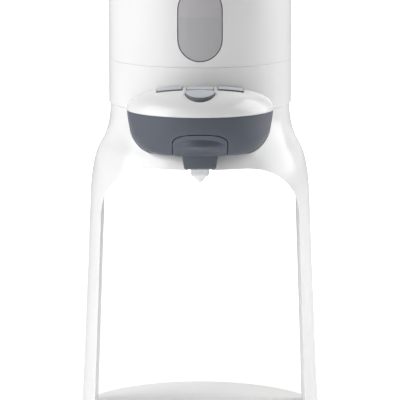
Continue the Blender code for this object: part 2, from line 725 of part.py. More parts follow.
def make_base():
    cavity_radius = BASE_RADIUS - BASE_WALL
    rounding = arc(
        (BASE_RADIUS - BASE_EDGE_ROUND, BASE_TOP - BASE_EDGE_ROUND), BASE_EDGE_ROUND, 90, 0
    )
    profile = [
        (0, BASE_TOP),
        *rounding,
        (BASE_RADIUS, FOOT_STANDOFF),
        (cavity_radius, FOOT_STANDOFF),
        (cavity_radius, BASE_CAVITY_TOP),
        (0, BASE_CAVITY_TOP),
    ]
    disc = turned("base_disc", profile, WHITE, closed=False)
    post_radius = SCREW_SHAFT_RADIUS + SCREW_CLEARANCE + SCREW_POST_WALL
    plate_radius = cavity_radius - GAP
    base_plate = rod(
        "base_plate",
        (0, 0, FOOT_STANDOFF),
        (0, 0, BASE_PLATE_TOP),
        plate_radius,
        BLACK,
        LARGE_STEPS,
    )
    hole_radius = SCREW_SHAFT_RADIUS + SCREW_CLEARANCE
    head_radius = SCREW_HEAD_RADIUS + SCREW_CLEARANCE
    recess_top = FOOT_STANDOFF + SCREW_HEAD_HEIGHT - GAP
    for index, (x, y) in enumerate(around(FOOT_COUNT, BASE_SCREW_RING_RADIUS, 45), 1):
        post = rod(
            f"base post {index}",
            (x, y, BASE_PLATE_TOP + GAP),
            (x, y, BASE_TOP - BASE_WALL / 2),
            post_radius,
        )
        pilot = rod(
            f"base pilot {index}",
            (x, y, 0),
            (x, y, recess_top + SCREW_LENGTH - BASE_PLATE_WALL / 2),
            hole_radius,
        )
        join(disc, post)
        cut(disc, pilot)
        recess = rod(f"base head recess {index}", (x, y, 0), (x, y, recess_top), head_radius)
        cut(base_plate, recess, pilot)
        head_seat = recess_top - GAP
        screw(f"base_screw_{index}", (x, y, head_seat), length=SCREW_LENGTH - BASE_PLATE_WALL)
    for index, (x, y) in enumerate(around(FOOT_COUNT, FOOT_RING_RADIUS, 0), 1):
        rod(f"foot_{index}", (x, y, 0), (x, y, FOOT_HEIGHT), FOOT_RADIUS, RUBBER, ROUND_STEPS)
        pocket = rod(
            f"foot pocket {index}",
            (x, y, 0),
            (x, y, FOOT_HEIGHT + GAP),
            FOOT_RADIUS + GAP,
            steps=ROUND_STEPS,
        )
        cut(base_plate, pocket)
    ballast_bottom = BASE_PLATE_TOP + GAP
    ballast = [
        (BALLAST_INNER_RADIUS, ballast_bottom + BALLAST_THICKNESS),
        (BALLAST_OUTER_RADIUS, ballast_bottom + BALLAST_THICKNESS),
        (BALLAST_OUTER_RADIUS, ballast_bottom),
        (BALLAST_INNER_RADIUS, ballast_bottom),
    ]
    turned("ballast_ring", ballast, STEEL, MEDIUM_STEPS)
    return disc


def make_stand():
    neck = PARTING_HEIGHT - GAP
    ledge_inner = bell_radius(neck * BELL_SHARES[0][0]) - SHELL_WALL
    outer = bell_side(neck, GAP, 0)
    inner = list(reversed(bell_side(neck * BELL_SHARES[0][0], GAP, SHELL_WALL)))
    profile = [
        (SPIGOT_OUTER_RADIUS, SPIGOT_TOP),
        (SPIGOT_OUTER_RADIUS, BASE_TOP + neck),
        *outer,
        *inner,
        (SPIGOT_INNER_RADIUS, BASE_TOP + neck - (ledge_inner - SPIGOT_INNER_RADIUS)),
        (SPIGOT_INNER_RADIUS, SPIGOT_TOP),
    ]
    stand = turned("stand_shell", profile, WHITE)
    reach = BASE_RADIUS + OVERRUN
    tunnel = plate("tunnel", tunnel_outline(0, -OVERRUN), -reach, reach, plane="XZ")
    mouth = make_mouth()
    notch = box(
        "spout notch",
        (-NOTCH_HALF_WIDTH, -reach, BASE_TOP + TUNNEL_CROWN_HEIGHT - OVERRUN),
        (NOTCH_HALF_WIDTH, -SPOUT_DEPTH + NOZZLE_RADIUS + GAP, DRAWER_BOTTOM + OVERRUN),
    )
    cut(stand, tunnel, mouth, notch)
    for name, x, y in deck_screw_places():
        boss = rod(
            f"deck boss {name}",
            (x, y, SPIGOT_TOP - DECK_BOSS_LENGTH),
            (x, y, SPIGOT_TOP),
            DECK_BOSS_RADIUS,
        )
        pilot = rod(
            f"deck pilot {name}",
            (x, y, SPIGOT_TOP - DECK_BOSS_LENGTH + SHELL_WALL / 2),
            (x, y, DECK_TOP + OVERRUN),
            SCREW_SHAFT_RADIUS + SCREW_CLEARANCE,
        )
        join(stand, boss)
        cut(stand, pilot)
        deck_screw = screw(f"deck_screw_{name}", (x, y, DECK_TOP + GAP))
        deck_screw.rotation_euler = (math.pi, 0, 0)
    make_liner(notch)


def deck_screw_places():
    """The two screws through the back of the deck: (name, x, y)."""
    across = DECK_SCREW_RING_RADIUS * math.sin(DECK_SCREW_ANGLE)
    back = DECK_SCREW_RING_RADIUS * math.cos(DECK_SCREW_ANGLE)
    return (("left", -across, back), ("right", across, back))


def make_mouth():
    """The opening for the drawer: its sections with a clearance, run straight out to the front."""
    grown = drawer_sections(-DRAWER_MOUTH_CLEARANCE, DRAWER_TOP, DRAWER_BOTTOM)
    above = (PARTING_Z + GAP, *grown[0][1:])
    below = (grown[-1][0] - DRAWER_MOUTH_CLEARANCE, *grown[-1][1:])
    rings = []
    for section in [above, *grown[1:-1], below]:
        height, half_width = section[:2]
        front = [(-half_width, -FRONT_REACH, height), (half_width, -FRONT_REACH, height)]
        rings.append([*oval(section, 0, 180, LARGE_STEPS // 2), *front])
    return skin("drawer mouth", rings)


def make_liner(notch):
    reach = BASE_RADIUS
    liner = plate("arch_liner", tunnel_outline(LINER_WALL, GAP), -reach, reach, WHITE, "XZ")
    bore = plate("liner bore", tunnel_outline(0, -OVERRUN), -reach - OVERRUN, reach + OVERRUN, plane="XZ")
    room_top = TUNNEL_CROWN_HEIGHT + LINER_WALL + OVERRUN
    profile = [
        (0, BASE_TOP + room_top),
        *bell_side(room_top, -OVERRUN, SHELL_WALL + GAP),
        (0, BASE_TOP - OVERRUN),
    ]
    room = turned("stand room", profile, closed=False)
    cut(liner, bore)
    keep(liner, room)
    cut(liner, notch)
    return liner


def make_leg_anchors(disc):
    """Blocks in the hollow legs that the screws through the base pull down."""
    bottom = GAP
    outer = bell_side(ANCHOR_HEIGHT, bottom, SHELL_WALL + GAP)
    inner_face = TUNNEL_FOOT_HALF_WIDTH + LINER_WALL + GAP
    ring_inner = TUNNEL_FOOT_HALF_WIDTH - OVERRUN
    profile = [*outer, (ring_inner, BASE_TOP + bottom), (ring_inner, BASE_TOP + ANCHOR_HEIGHT)]
    hole_radius = SCREW_SHAFT_RADIUS + SCREW_CLEARANCE
    for side, name in ((-1, "left"), (1, "right")):
        anchor = turned(f"leg_anchor_{name}", profile, STEEL)
        far = side * (STAND_FOOT_RADIUS + OVERRUN)
        near = side * inner_face
        half = box(
            f"anchor half {name}",
            (min(near, far), -STAND_FOOT_RADIUS, BASE_TOP - OVERRUN),
            (max(near, far), STAND_FOOT_RADIUS, BASE_TOP + ANCHOR_HEIGHT + OVERRUN),
        )
        keep(anchor, half)
        middle = (inner_face + bell_radius(ANCHOR_HEIGHT) - SHELL_WALL) / 2
        for end, offset in (("front", -ANCHOR_SCREW_OFFSET), ("back", ANCHOR_SCREW_OFFSET)):
            x = side * math.sqrt(middle**2 - offset**2)
            hole = rod(
                f"leg hole {name} {end}",
                (x, offset, BASE_CAVITY_TOP - OVERRUN),
                (x, offset, BASE_TOP + ANCHOR_HEIGHT + OVERRUN),
                hole_radius,
            )
            cut(anchor, hole)
            cut(disc, hole)
            screw(f"leg_screw_{name}_{end}", (x, offset, BASE_CAVITY_TOP - GAP))


def make_lower_housing():
    inner = BODY_RADIUS - HOUSING_WALL
    top = SEAM_Z - GAP
    profile = [
        (inner, top),
        (BODY_RADIUS, top),
        (BODY_RADIUS, PARTING_Z),
        (inner, PARTING_Z),
    ]
    housing = turned("lower_housing", profile, WHITE)
    service = box(
        "service hole",
        (-SERVICE_HOLE_HALF_WIDTH, -BODY_RADIUS - OVERRUN, DECK_TOP + GAP),
        (SERVICE_HOLE_HALF_WIDTH, -inner / 2, DECK_TOP + GAP + SERVICE_HOLE_HEIGHT),
    )
    cut(housing, service)
    return housing


def window_outline(inset):
    half_width = WINDOW_HALF_WIDTH - inset
    top = WINDOW_TOP - inset - half_width
    bottom = WINDOW_BOTTOM + inset + half_width
    return [*arc((0, top), half_width, 0, 180, 12), *arc((0, bottom), half_width, 180, 360, 12)]


def make_upper_housing():
    inner = BODY_RADIUS - HOUSING_WALL
    lip_outer = inner - GAP
    lip_inner = lip_outer - HOUSING_LIP_WALL
    lip_bottom = SEAM_Z - HOUSING_LIP_HEIGHT
    ledge_inner = lip_outer - TANK_LEDGE_WIDTH
    shoulder = SEAM_Z + HOUSING_LIP_WALL
    profile = [
        (inner, HOUSING_TOP),
        (BODY_RADIUS, HOUSING_TOP),
        (BODY_RADIUS, SEAM_Z),
        (lip_outer, SEAM_Z),
        (lip_outer, lip_bottom),
        (ledge_inner, lip_bottom),
        (ledge_inner, TANK_LEDGE_TOP),
        (lip_inner, TANK_LEDGE_TOP),
        (lip_inner, shoulder),
        (inner, shoulder + inner - lip_inner),
    ]
    housing = turned("upper_housing", profile, WHITE)
    opening = plate("window opening", window_outline(0), -BODY_RADIUS - OVERRUN, 0, plane="XZ")
    cut(housing, opening)
    outer = BODY_RADIUS - LENS_INSET
    back = outer - LENS_THICKNESS
    low = WINDOW_BOTTOM - OVERRUN
    high = WINDOW_TOP + OVERRUN
    lens = turned("window_lens", [(back, high), (outer, high), (outer, low), (back, low)], WINDOW_GREY)
    pane = plate("lens outline", window_outline(GAP), -BODY_RADIUS - OVERRUN, 0, plane="XZ")
    keep(lens, pane)
    return housing


def make_tank():
    inner = TANK_RADIUS - TANK_WALL
    profile = [
        (inner, TANK_TOP),
        (TANK_RADIUS, TANK_TOP),
        (TANK_RADIUS, TANK_BOTTOM),
        (0, TANK_BOTTOM),
    ]
    cup = [(0, TANK_BOTTOM + TANK_WALL), (inner, TANK_BOTTOM + TANK_WALL)]
    profile = [cup[0], cup[1], *profile]
    tank = turned("water_tank", profile, CLEAR, closed=False)
    y = TANK_OUTLET_OFFSET
    hole = rod(
        "tank outlet hole",
        (0, y, TANK_BOTTOM - OVERRUN),
        (0, y, TANK_BOTTOM + OVERRUN),
        GROMMET_NECK_RADIUS + GAP,
    )
    cut(tank, hole)
    flange_bottom = TANK_BOTTOM + TANK_WALL + GAP
    flange_top = flange_bottom + GROMMET_FLANGE_THICKNESS
    tip = TANK_BOTTOM - GROMMET_LENGTH + GROMMET_FLANGE_THICKNESS
    neck_bottom = TANK_BOTTOM - GROMMET_FLANGE_THICKNESS
    profile = [
        (GROMMET_BORE_RADIUS, flange_top),
        (GROMMET_FLANGE_RADIUS, flange_top),
        (GROMMET_FLANGE_RADIUS, flange_bottom),
        (GROMMET_NECK_RADIUS, flange_bottom),
        (GROMMET_NECK_RADIUS, neck_bottom),
        (HOSE_RADIUS, neck_bottom),
        (HOSE_RADIUS, tip),
        (GROMMET_BORE_RADIUS, tip),
    ]
    turned("tank_outlet_grommet", profile, SILICONE, 16, at=(0, y, 0))
    return (0, y, tip)


def make_top():
    recess = LID_RADIUS + LID_RECESS_CLEARANCE
    lip_outer = BODY_RADIUS - HOUSING_WALL - GAP
    lip_inner = lip_outer - HOUSING_LIP_WALL
    lip_bottom = RING_BOTTOM - HOUSING_LIP_HEIGHT
    rounding = arc((BODY_RADIUS - RING_ROUND, RING_TOP - RING_ROUND), RING_ROUND, 90, 0)
    seat = LID_SEAT - GAP
    profile = [
        (recess, RING_TOP - RECESS_CHAMFER),
        (recess + RECESS_CHAMFER, RING_TOP),
        *rounding,
        (BODY_RADIUS, RING_BOTTOM),
        (lip_outer, RING_BOTTOM),
        (lip_outer, lip_bottom),
        (lip_inner, lip_bottom),
        (lip_inner, RING_UNDERSIDE),
        (RING_MOUTH_RADIUS, RING_UNDERSIDE),
        (RING_MOUTH_RADIUS, seat),
        (recess, seat),
    ]
    ring = turned("top_ring", profile, WHITE)
    slot_half = HINGE_BARREL_HALF_LENGTH + GAP
    slot = box(
        "hinge slot",
        (-slot_half, RING_MOUTH_RADIUS - OVERRUN, RING_UNDERSIDE - OVERRUN),
        (slot_half, HINGE_SETBACK + HINGE_SLOT_DEPTH, RING_TOP + OVERRUN),
    )
    bore_half = HINGE_PIN_HALF_LENGTH + GAP
    bore = rod(
        "hinge bore",
        (-bore_half, HINGE_SETBACK, HINGE_Z),
        (bore_half, HINGE_SETBACK, HINGE_Z),
        HINGE_PIN_RADIUS + PIN_CLEARANCE,
    )
    cut(ring, slot, bore)
    pin = rod(
        "hinge_pin",
        (-HINGE_PIN_HALF_LENGTH, HINGE_SETBACK, HINGE_Z),
        (HINGE_PIN_HALF_LENGTH, HINGE_SETBACK, HINGE_Z),
        HINGE_PIN_RADIUS,
        STEEL,
    )
    make_lid(bore)
    return pin


def make_lid(bore):
    plug_inner = LID_PLUG_RADIUS - LID_PLUG_WALL
    plug_bottom = LID_SEAT - LID_PLUG_DEPTH
    crown = RING_TOP + LID_CROWN
    profile = [
        (0, crown),
        (LID_RADIUS / 3, crown - LID_CROWN / 9),
        (LID_RADIUS * 2 / 3, crown - LID_CROWN * 4 / 9),
        (LID_RADIUS - LID_THICKNESS / 4, RING_TOP),
        (LID_RADIUS, RING_TOP - LID_THICKNESS / 4),
        (LID_RADIUS, LID_SEAT),
        (LID_PLUG_RADIUS, LID_SEAT),
        (LID_PLUG_RADIUS, plug_bottom),
        (plug_inner, plug_bottom),
        (plug_inner, LID_SEAT),
        (0, crown - LID_THICKNESS),
    ]
    lid = turned("lid", profile, WHITE, closed=False)
    arm = box(
        "lid arm",
        (-HINGE_BARREL_HALF_LENGTH, RING_MOUTH_RADIUS, LID_SEAT),
        (HINGE_BARREL_HALF_LENGTH, HINGE_SETBACK, RING_TOP),
    )
    barrel = rod(
        "lid barrel",
        (-HINGE_BARREL_HALF_LENGTH, HINGE_SETBACK, HINGE_Z),
        (HINGE_BARREL_HALF_LENGTH, HINGE_SETBACK, HINGE_Z),
        HINGE_BARREL_RADIUS,
        steps=16,
    )
    tab_bottom = RING_TOP + GAP
    tab_top = tab_bottom + LID_TAB_THICKNESS
    tab_back = -LID_RADIUS + LID_TAB_REACH * 2
    tab = box(
        "lid tab",
        (-LID_TAB_HALF_WIDTH, -LID_RADIUS - LID_TAB_REACH, tab_bottom),
        (LID_TAB_HALF_WIDTH, tab_back, tab_top),
    )
    tab_root = box(
        "lid tab root",
        (-LID_TAB_HALF_WIDTH, -math.sqrt(LID_RADIUS**2 - LID_TAB_HALF_WIDTH**2) + GAP, LID_SEAT + GAP),
        (LID_TAB_HALF_WIDTH, tab_back, tab_top),
    )
    join(lid, arm, barrel, tab_root, tab)
    cut(lid, bore)
    seal_inner = LID_PLUG_RADIUS + GAP
    seal_outer = RING_MOUTH_RADIUS - GAP
    seal_bottom = RING_UNDERSIDE + GAP
    seal_top = seal_bottom + SEAL_THICKNESS
    profile = [
        (seal_inner, seal_top),
        (seal_outer, seal_top),
        (seal_outer, seal_bottom),
        (seal_inner, seal_bottom),
    ]
    seal = turned("lid_seal", profile, SILICONE, MEDIUM_STEPS)
    pivot("lid hinge", (0, HINGE_SETBACK, HINGE_Z), lid, seal)
    return lid


def ring_sector(inner, outer, start, end, steps=ARC_STEPS):
    """The outline between two radii about the body's axis and two places across."""

    def edge(radius, first, last):
        points = []
        for step in range(steps + 1):
            x = first + (last - first) * step / steps
            points.append((x, -math.sqrt(radius**2 - x**2)))
        return points

    return [*edge(outer, start, end), *edge(inner, end, start)]


def crescent_outline(grow):
    """Half an oval whose straight side is to the back."""
    half_width = START_KEY_HALF_WIDTH + grow
    back = -START_KEY_BACK_DEPTH + grow
    depth = START_KEY_FRONT_DEPTH - START_KEY_BACK_DEPTH + grow * 2
    points = []
    for step in range(SMALL_STEPS + 1):
        angle = math.pi * (1 + step / SMALL_STEPS)
        points.append((half_width * math.cos(angle), back + depth * math.sin(angle)))
    return points


def make_nose():
    nose = dome("control_nose", NOSE_HALF_WIDTH, NOSE_HALF_DEPTH, NOSE_RISE, WHITE)
    inner = dome(
        "nose hollow",
        NOSE_HALF_WIDTH - NOSE_WALL,
        NOSE_HALF_DEPTH - NOSE_WALL,
        NOSE_RISE - NOSE_WALL,
    )
    far = FRONT_REACH
    below = box("below nose", (-far, -far, 0), (far, far, PARTING_Z))
    low = PARTING_Z - OVERRUN
    high = PARTING_Z + NOSE_RISE + OVERRUN
    body = rod("body room", (0, 0, low), (0, 0, high), BODY_RADIUS + GAP, steps=LARGE_STEPS)
    cut(nose, inner, below, body)
    floor_bottom = PARTING_Z + GAP
    floor_top = floor_bottom + NOSE_FLOOR_THICKNESS
    floor_inset = NOSE_WALL + GAP * 3
    sections = [
        (height, NOSE_HALF_WIDTH - floor_inset, NOSE_HALF_DEPTH - floor_inset, NOSE_CENTRE_DEPTH)
        for height in (floor_top, floor_bottom)
    ]
    floor = loft("nose_floor", sections, WHITE)
    cut(floor, body)
    board_inset = NOSE_WALL * 2
    board_size = (NOSE_HALF_WIDTH - board_inset * 2, NOSE_HALF_DEPTH - board_inset)
    sections = [
        (height, *board_size, NOSE_CENTRE_DEPTH)
        for height in (BOARD_TOP, BOARD_TOP - BOARD_THICKNESS)
    ]
    board = loft("control_board", sections, BOARD_GREEN, MEDIUM_STEPS)
    stand_low = floor_top + GAP
    stand_high = BOARD_TOP - BOARD_THICKNESS / 2
    for index, x in enumerate((-SIDE_KEY_END, 0, SIDE_KEY_END)):
        y = -(BODY_RADIUS + BOARD_STANDOFF * 2) if x == 0 else -math.sqrt(
            (BODY_RADIUS + BOARD_STANDOFF * 2) ** 2 - x**2
        )
        post = rod(f"board post {index}", (x, y, stand_low), (x, y, stand_high), BOARD_THICKNESS)
        join(board, post)
    board_room = rod(
        "board room", (0, 0, low), (0, 0, high), BODY_RADIUS + GAP * 2, steps=LARGE_STEPS
    )
    cut(board, board_room)
    make_keys(nose)


def make_key(name, outline, hole_outline, rise, stem_place, nose):
    """A key that follows the nose's surface, with a stem that comes down over its switch."""
    top = PARTING_Z + NOSE_RISE + OVERRUN
    key = plate(name, outline, PARTING_Z + OVERRUN, top, KEY_GREY)
    skin = dome(f"{name} top", NOSE_HALF_WIDTH, NOSE_HALF_DEPTH, NOSE_RISE, lift=rise)
    under = dome(
        f"{name} underside", NOSE_HALF_WIDTH, NOSE_HALF_DEPTH, NOSE_RISE, lift=rise - KEY_SKIN
    )
    keep(key, skin)
    cut(key, under)
    x, y = stem_place
    ratio = (x / NOSE_HALF_WIDTH) ** 2 + ((y + NOSE_CENTRE_DEPTH) / NOSE_HALF_DEPTH) ** 2
    skin_height = PARTING_Z + NOSE_RISE * math.sqrt(1 - ratio)
    stem = rod(
        f"{name} stem",
        (x, y, SWITCH_TOP + KEY_TRAVEL + GAP),
        (x, y, skin_height + rise - KEY_SKIN / 2),
        STEM_RADIUS,
        steps=10,
    )
    join(key, stem)
    hole = plate(f"{name} hole", hole_outline, PARTING_Z + OVERRUN, top)
    cut(nose, hole)
    half = SWITCH_SIDE / 2
    away = Vector((x, y, 0)).normalized() * (half - STEM_RADIUS)
    box(
        name.replace("key", "switch"),
        (x + away.x - half, y + away.y - half, BOARD_TOP + GAP),
        (x + away.x + half, y + away.y + half, SWITCH_TOP),
        BLACK,
    )
    pivot(f"{name} press", (x, y, skin_height), key)


def make_keys(nose):
    middle = (SIDE_KEY_START + SIDE_KEY_END) / 2
    radius = (SIDE_KEY_INNER_RADIUS + SIDE_KEY_OUTER_RADIUS) / 2
    y = -math.sqrt(radius**2 - middle**2)
    grow = KEY_CLEARANCE
    for side, name in ((-1, "key_left"), (1, "key_right")):
        ends = sorted((side * SIDE_KEY_START, side * SIDE_KEY_END))
        outline = ring_sector(SIDE_KEY_INNER_RADIUS, SIDE_KEY_OUTER_RADIUS, *ends)
        hole = ring_sector(
            SIDE_KEY_INNER_RADIUS - grow, SIDE_KEY_OUTER_RADIUS + grow, ends[0] - grow, ends[1] + grow
        )
        make_key(name, outline, hole, KEY_RISE, (side * middle, y), nose)
    strip = ring_sector(
        STRIP_KEY_INNER_RADIUS, STRIP_KEY_OUTER_RADIUS, -STRIP_KEY_HALF_WIDTH, STRIP_KEY_HALF_WIDTH
    )
    strip_hole = ring_sector(
        STRIP_KEY_INNER_RADIUS - grow,
        STRIP_KEY_OUTER_RADIUS + grow,
        -STRIP_KEY_HALF_WIDTH - grow,
        STRIP_KEY_HALF_WIDTH + grow,
    )
    strip_depth = (STRIP_KEY_INNER_RADIUS + STRIP_KEY_OUTER_RADIUS) / 2
    make_key("key_select", strip, strip_hole, KEY_RISE, (0, -strip_depth), nose)
    start_depth = (START_KEY_BACK_DEPTH + START_KEY_FRONT_DEPTH) / 2
    make_key(
        "key_start",
        crescent_outline(0),
        crescent_outline(grow),
        START_KEY_RISE,
        (0, -start_depth),
        nose,
    )


def handle_outline(grow, bottom):
    """The spout handle's outline from the front, which is open at the bottom of the drawer."""
    half_width = HANDLE_HALF_WIDTH - GAP + grow
    top = DRAWER_TOP - HANDLE_TOP_DROP + grow
    radius = HANDLE_CORNER_RADIUS + grow
    corner = arc((half_width - radius, top - radius), radius, 0, 90, 6)
    half = [(half_width, bottom), *corner]
    return [*half, *[(-x, z) for x, z in reversed(half)]]


def make_drawer():
    front = loft("drawer_front", drawer_sections(0, DRAWER_TOP, DRAWER_BOTTOM), SLATE)
    hollow = loft("drawer hollow", hollow_sections())
    far = FRONT_REACH
    behind = box(
        "behind drawer front",
        (-far, -DRAWER_BACK_DEPTH, DRAWER_BOTTOM - OVERRUN),
        (far, far, DRAWER_TOP + OVERRUN),
    )
    gap_outline = handle_outline(GAP, DRAWER_BOTTOM - OVERRUN)
    handle_room = plate("handle room", gap_outline, -far, 0, plane="XZ")
    cut(front, hollow, behind, handle_room)
    tray = make_tray()
    spout = make_spout(hollow)
    slide = (0, -DRAWER_BACK_DEPTH, DRAWER_BOTTOM)
    pivot("drawer slide", slide, front, tray)
    pivot("spout slide", slide, *spout)


def hollow_sections():
    """The drawer front's hollow: a wall's thickness inside its sections, and open at the top."""
    sections = drawer_sections(DRAWER_WALL, DRAWER_TOP, DRAWER_BOTTOM)
    above = (sections[0][0] + OVERRUN, *sections[0][1:])
    kept = [section for section in sections[1:] if section[0] > DRAWER_FLOOR_TOP]
    return [above, *kept, (DRAWER_FLOOR_TOP, *kept[-1][1:])]


def tray_outline(inset):
    """The tray from above: an oval front, straight sides and a back with round corners."""
    half_width = TRAY_HALF_WIDTH - inset
    half_depth = TRAY_FRONT_HALF_DEPTH - inset
    back = -TRAY_BACK_DEPTH - inset
    radius = TRAY_CORNER_RADIUS - inset
    points = []
    for step in range(17):
        angle = math.pi * (1 + step / 16)
        points.append(
            (half_width * math.cos(angle), half_depth * math.sin(angle) - NOSE_CENTRE_DEPTH)
        )
    right = arc((half_width - radius, back - radius), radius, 0, 90)
    left = arc((radius - half_width, back - radius), radius, 90, 180)
    return [*points, *right, *left]


def make_tray():
    tray = plate("drawer_tray", tray_outline(0), TRAY_BOTTOM, TRAY_TOP, CLEAR)
    rim_inset = DRAWER_WALL + DRAWER_MOUTH_CLEARANCE + GAP
    rim_size = (DRAWER_TOP_HALF_WIDTH - rim_inset, DRAWER_TOP_HALF_DEPTH - rim_inset)
    rim_sections = [
        (height, *rim_size, NOSE_CENTRE_DEPTH) for height in (TRAY_TOP, TRAY_TOP - RIM_THICKNESS)
    ]
    rim = loft("tray rim", rim_sections)
    far = FRONT_REACH
    rim_front = box(
        "tray rim front", (-far, -far, TRAY_BOTTOM), (far, -DRAWER_BACK_DEPTH, TRAY_TOP + OVERRUN)
    )
    keep(rim, rim_front)
    join(tray, rim)
    pocket = plate(
        "tray pocket", tray_outline(TRAY_WALL), TRAY_BOTTOM + TRAY_WALL, TRAY_TOP + OVERRUN
    )
    arm_top = TRAY_TOP - ARM_DROP
    for side, name in ((-1, "left"), (1, "right")):
        near = side * (TRAY_HALF_WIDTH - TRAY_WALL / 2)
        far = side * ARM_OUTER_HALF_WIDTH
        arm = box(
            f"tray arm {name}",
            (min(near, far), -ARM_FRONT_DEPTH, arm_top - ARM_THICKNESS),
            (max(near, far), ARM_TAIL, arm_top),
        )
        join(tray, arm)
        make_guide(side, name, arm_top)
    outlet = rod(
        "tray outlet",
        (0, -SPOUT_DEPTH, TRAY_BOTTOM - OVERRUN),
        (0, -SPOUT_DEPTH, TRAY_BOTTOM + OVERRUN),
        TRAY_OUTLET_RADIUS,
        steps=16,
    )
    cut(tray, pocket, outlet)
    return tray


def make_guide(side, name, arm_top):
    """A channel under the deck that one of the tray's arms runs in."""
    inner = side * (ARM_OUTER_HALF_WIDTH - GUIDE_LIP)
    outer = side * GUIDE_OUTER_HALF_WIDTH
    low = arm_top - ARM_THICKNESS - GAP - GUIDE_WALL
    guide = box(
        f"drawer_guide_{name}",
        (min(inner, outer), -GUIDE_FRONT_DEPTH, low),
        (max(inner, outer), GUIDE_TAIL, DECK_BOTTOM - GAP),
        WHITE,
    )
    channel_inner = side * (TRAY_HALF_WIDTH - TRAY_WALL)
    channel_outer = side * (ARM_OUTER_HALF_WIDTH + GAP)
    channel = box(
        f"guide channel {name}",
        (min(channel_inner, channel_outer), -BODY_RADIUS, arm_top - ARM_THICKNESS - GAP),
        (max(channel_inner, channel_outer), BODY_RADIUS, arm_top + GAP),
    )
    cut(guide, channel)
    return guide


def make_spout(hollow):
    far = FRONT_REACH
    handle = loft("spout_handle", drawer_sections(0, DRAWER_TOP, DRAWER_BOTTOM), SLATE)
    outline = handle_outline(0, DRAWER_BOTTOM - OVERRUN)
    face = plate("handle face", outline, -far, -DRAWER_BACK_DEPTH, plane="XZ")
    keep(handle, face)
    cut(handle, hollow)
    _, room_half_width, room_half_depth, room_centre = hollow_sections()[-1]
    tongue = box(
        "tongue",
        (-HANDLE_HALF_WIDTH + GAP, -room_centre, TONGUE_BOTTOM),
        (HANDLE_HALF_WIDTH - GAP, -SPOUT_DEPTH + TONGUE_TAIL, TONGUE_TOP),
    )
    rib_half_width = HANDLE_HALF_WIDTH + TONGUE_RIB_WIDTH
    rib_low = DRAWER_FLOOR_TOP + GAP
    room_share = math.sqrt(1 - (rib_half_width / room_half_width) ** 2)
    rib_front = SPOUT_TRAVEL + GAP * 3 - room_centre - room_half_depth * room_share
    ribs = box(
        "tongue ribs",
        (-rib_half_width, rib_front, rib_low),
        (rib_half_width, -SPOUT_DEPTH + TONGUE_TAIL, TONGUE_TOP),
    )
    tab_top = DRAWER_BOTTOM + DRAWER_WALL / 2
    tab_bottom = DRAWER_BOTTOM - TAB_LENGTH
    radius = TAB_CORNER_RADIUS
    corner = arc((TAB_BOTTOM_HALF_WIDTH - radius, tab_bottom + radius), radius, -90, 0)
    half = [*corner, (TAB_TOP_HALF_WIDTH, tab_top)]
    outline = [*half, *[(-x, z) for x, z in reversed(half)]]
    tab = plate(
        "tab", outline, -TAB_FRONT_DEPTH, -TAB_FRONT_DEPTH + TAB_THICKNESS, plane="XZ"
    )
    bulge_height = DRAWER_BOTTOM + (DRAWER_HEIGHT - HANDLE_TOP_DROP) * BULGE_HEIGHT_SHARE
    bulge = ellipsoid(
        "thumb bulge",
        (0, -drawer_front_depth(bulge_height), bulge_height),
        (HANDLE_BULGE_RADIUS, HANDLE_BULGE_REACH, HANDLE_BULGE_RADIUS / 2),
    )
    join(handle, tongue, ribs, tab, bulge)
    return [handle, *make_nozzle(handle)]


def make_nozzle(handle):
    """The nozzle hangs in a stepped hole through the tongue, with its seal on its flange."""
    seat = TONGUE_TOP - NOZZLE_FLANGE_THICKNESS - GAP
    hole = rod(
        "nozzle hole",
        (0, -SPOUT_DEPTH, TONGUE_BOTTOM - OVERRUN),
        (0, -SPOUT_DEPTH, TONGUE_TOP + OVERRUN),
        NOZZLE_RADIUS + GAP,
        steps=ROUND_STEPS,
    )
    counterbore = rod(
        "nozzle seat",
        (0, -SPOUT_DEPTH, seat - GAP),
        (0, -SPOUT_DEPTH, TONGUE_TOP + OVERRUN),
        NOZZLE_FLANGE_RADIUS + GAP,
        steps=ROUND_STEPS,
    )
    cut(handle, hole, counterbore)
    flange_top = seat + NOZZLE_FLANGE_THICKNESS
    tip = DRAWER_BOTTOM - NOZZLE_LENGTH
    cone_top = tip + NOZZLE_CONE_HEIGHT
    lip_top = cone_top + NOZZLE_LIP_HEIGHT
    profile = [
        (NOZZLE_BORE_RADIUS, flange_top),
        (NOZZLE_FLANGE_RADIUS, flange_top),
        (NOZZLE_FLANGE_RADIUS, seat),
        (NOZZLE_RADIUS, seat),
        (NOZZLE_RADIUS, lip_top),
        (NOZZLE_LIP_RADIUS, cone_top),
        (NOZZLE_CONE_RADIUS, cone_top),
        (NOZZLE_TIP_BORE_RADIUS * 1.5, tip),
        (NOZZLE_TIP_BORE_RADIUS, tip),
        (NOZZLE_TIP_BORE_RADIUS, lip_top),
        (NOZZLE_BORE_RADIUS, lip_top + NOZZLE_BORE_RADIUS),
    ]
    at = (0, -SPOUT_DEPTH, 0)
    nozzle = turned("spout_nozzle", profile, CLEAR, ROUND_STEPS, at=at)
    seal_bottom = flange_top + GAP
    seal_top = TRAY_BOTTOM - GAP
    outer = NOZZLE_FLANGE_RADIUS - GAP
    inner = NOZZLE_BORE_RADIUS + GAP
    profile = [(inner, seal_top), (outer, seal_top), (outer, seal_bottom), (inner, seal_bottom)]
    seal = turned("nozzle_seal", profile, SILICONE, ROUND_STEPS, at=at)
    return [nozzle, seal]


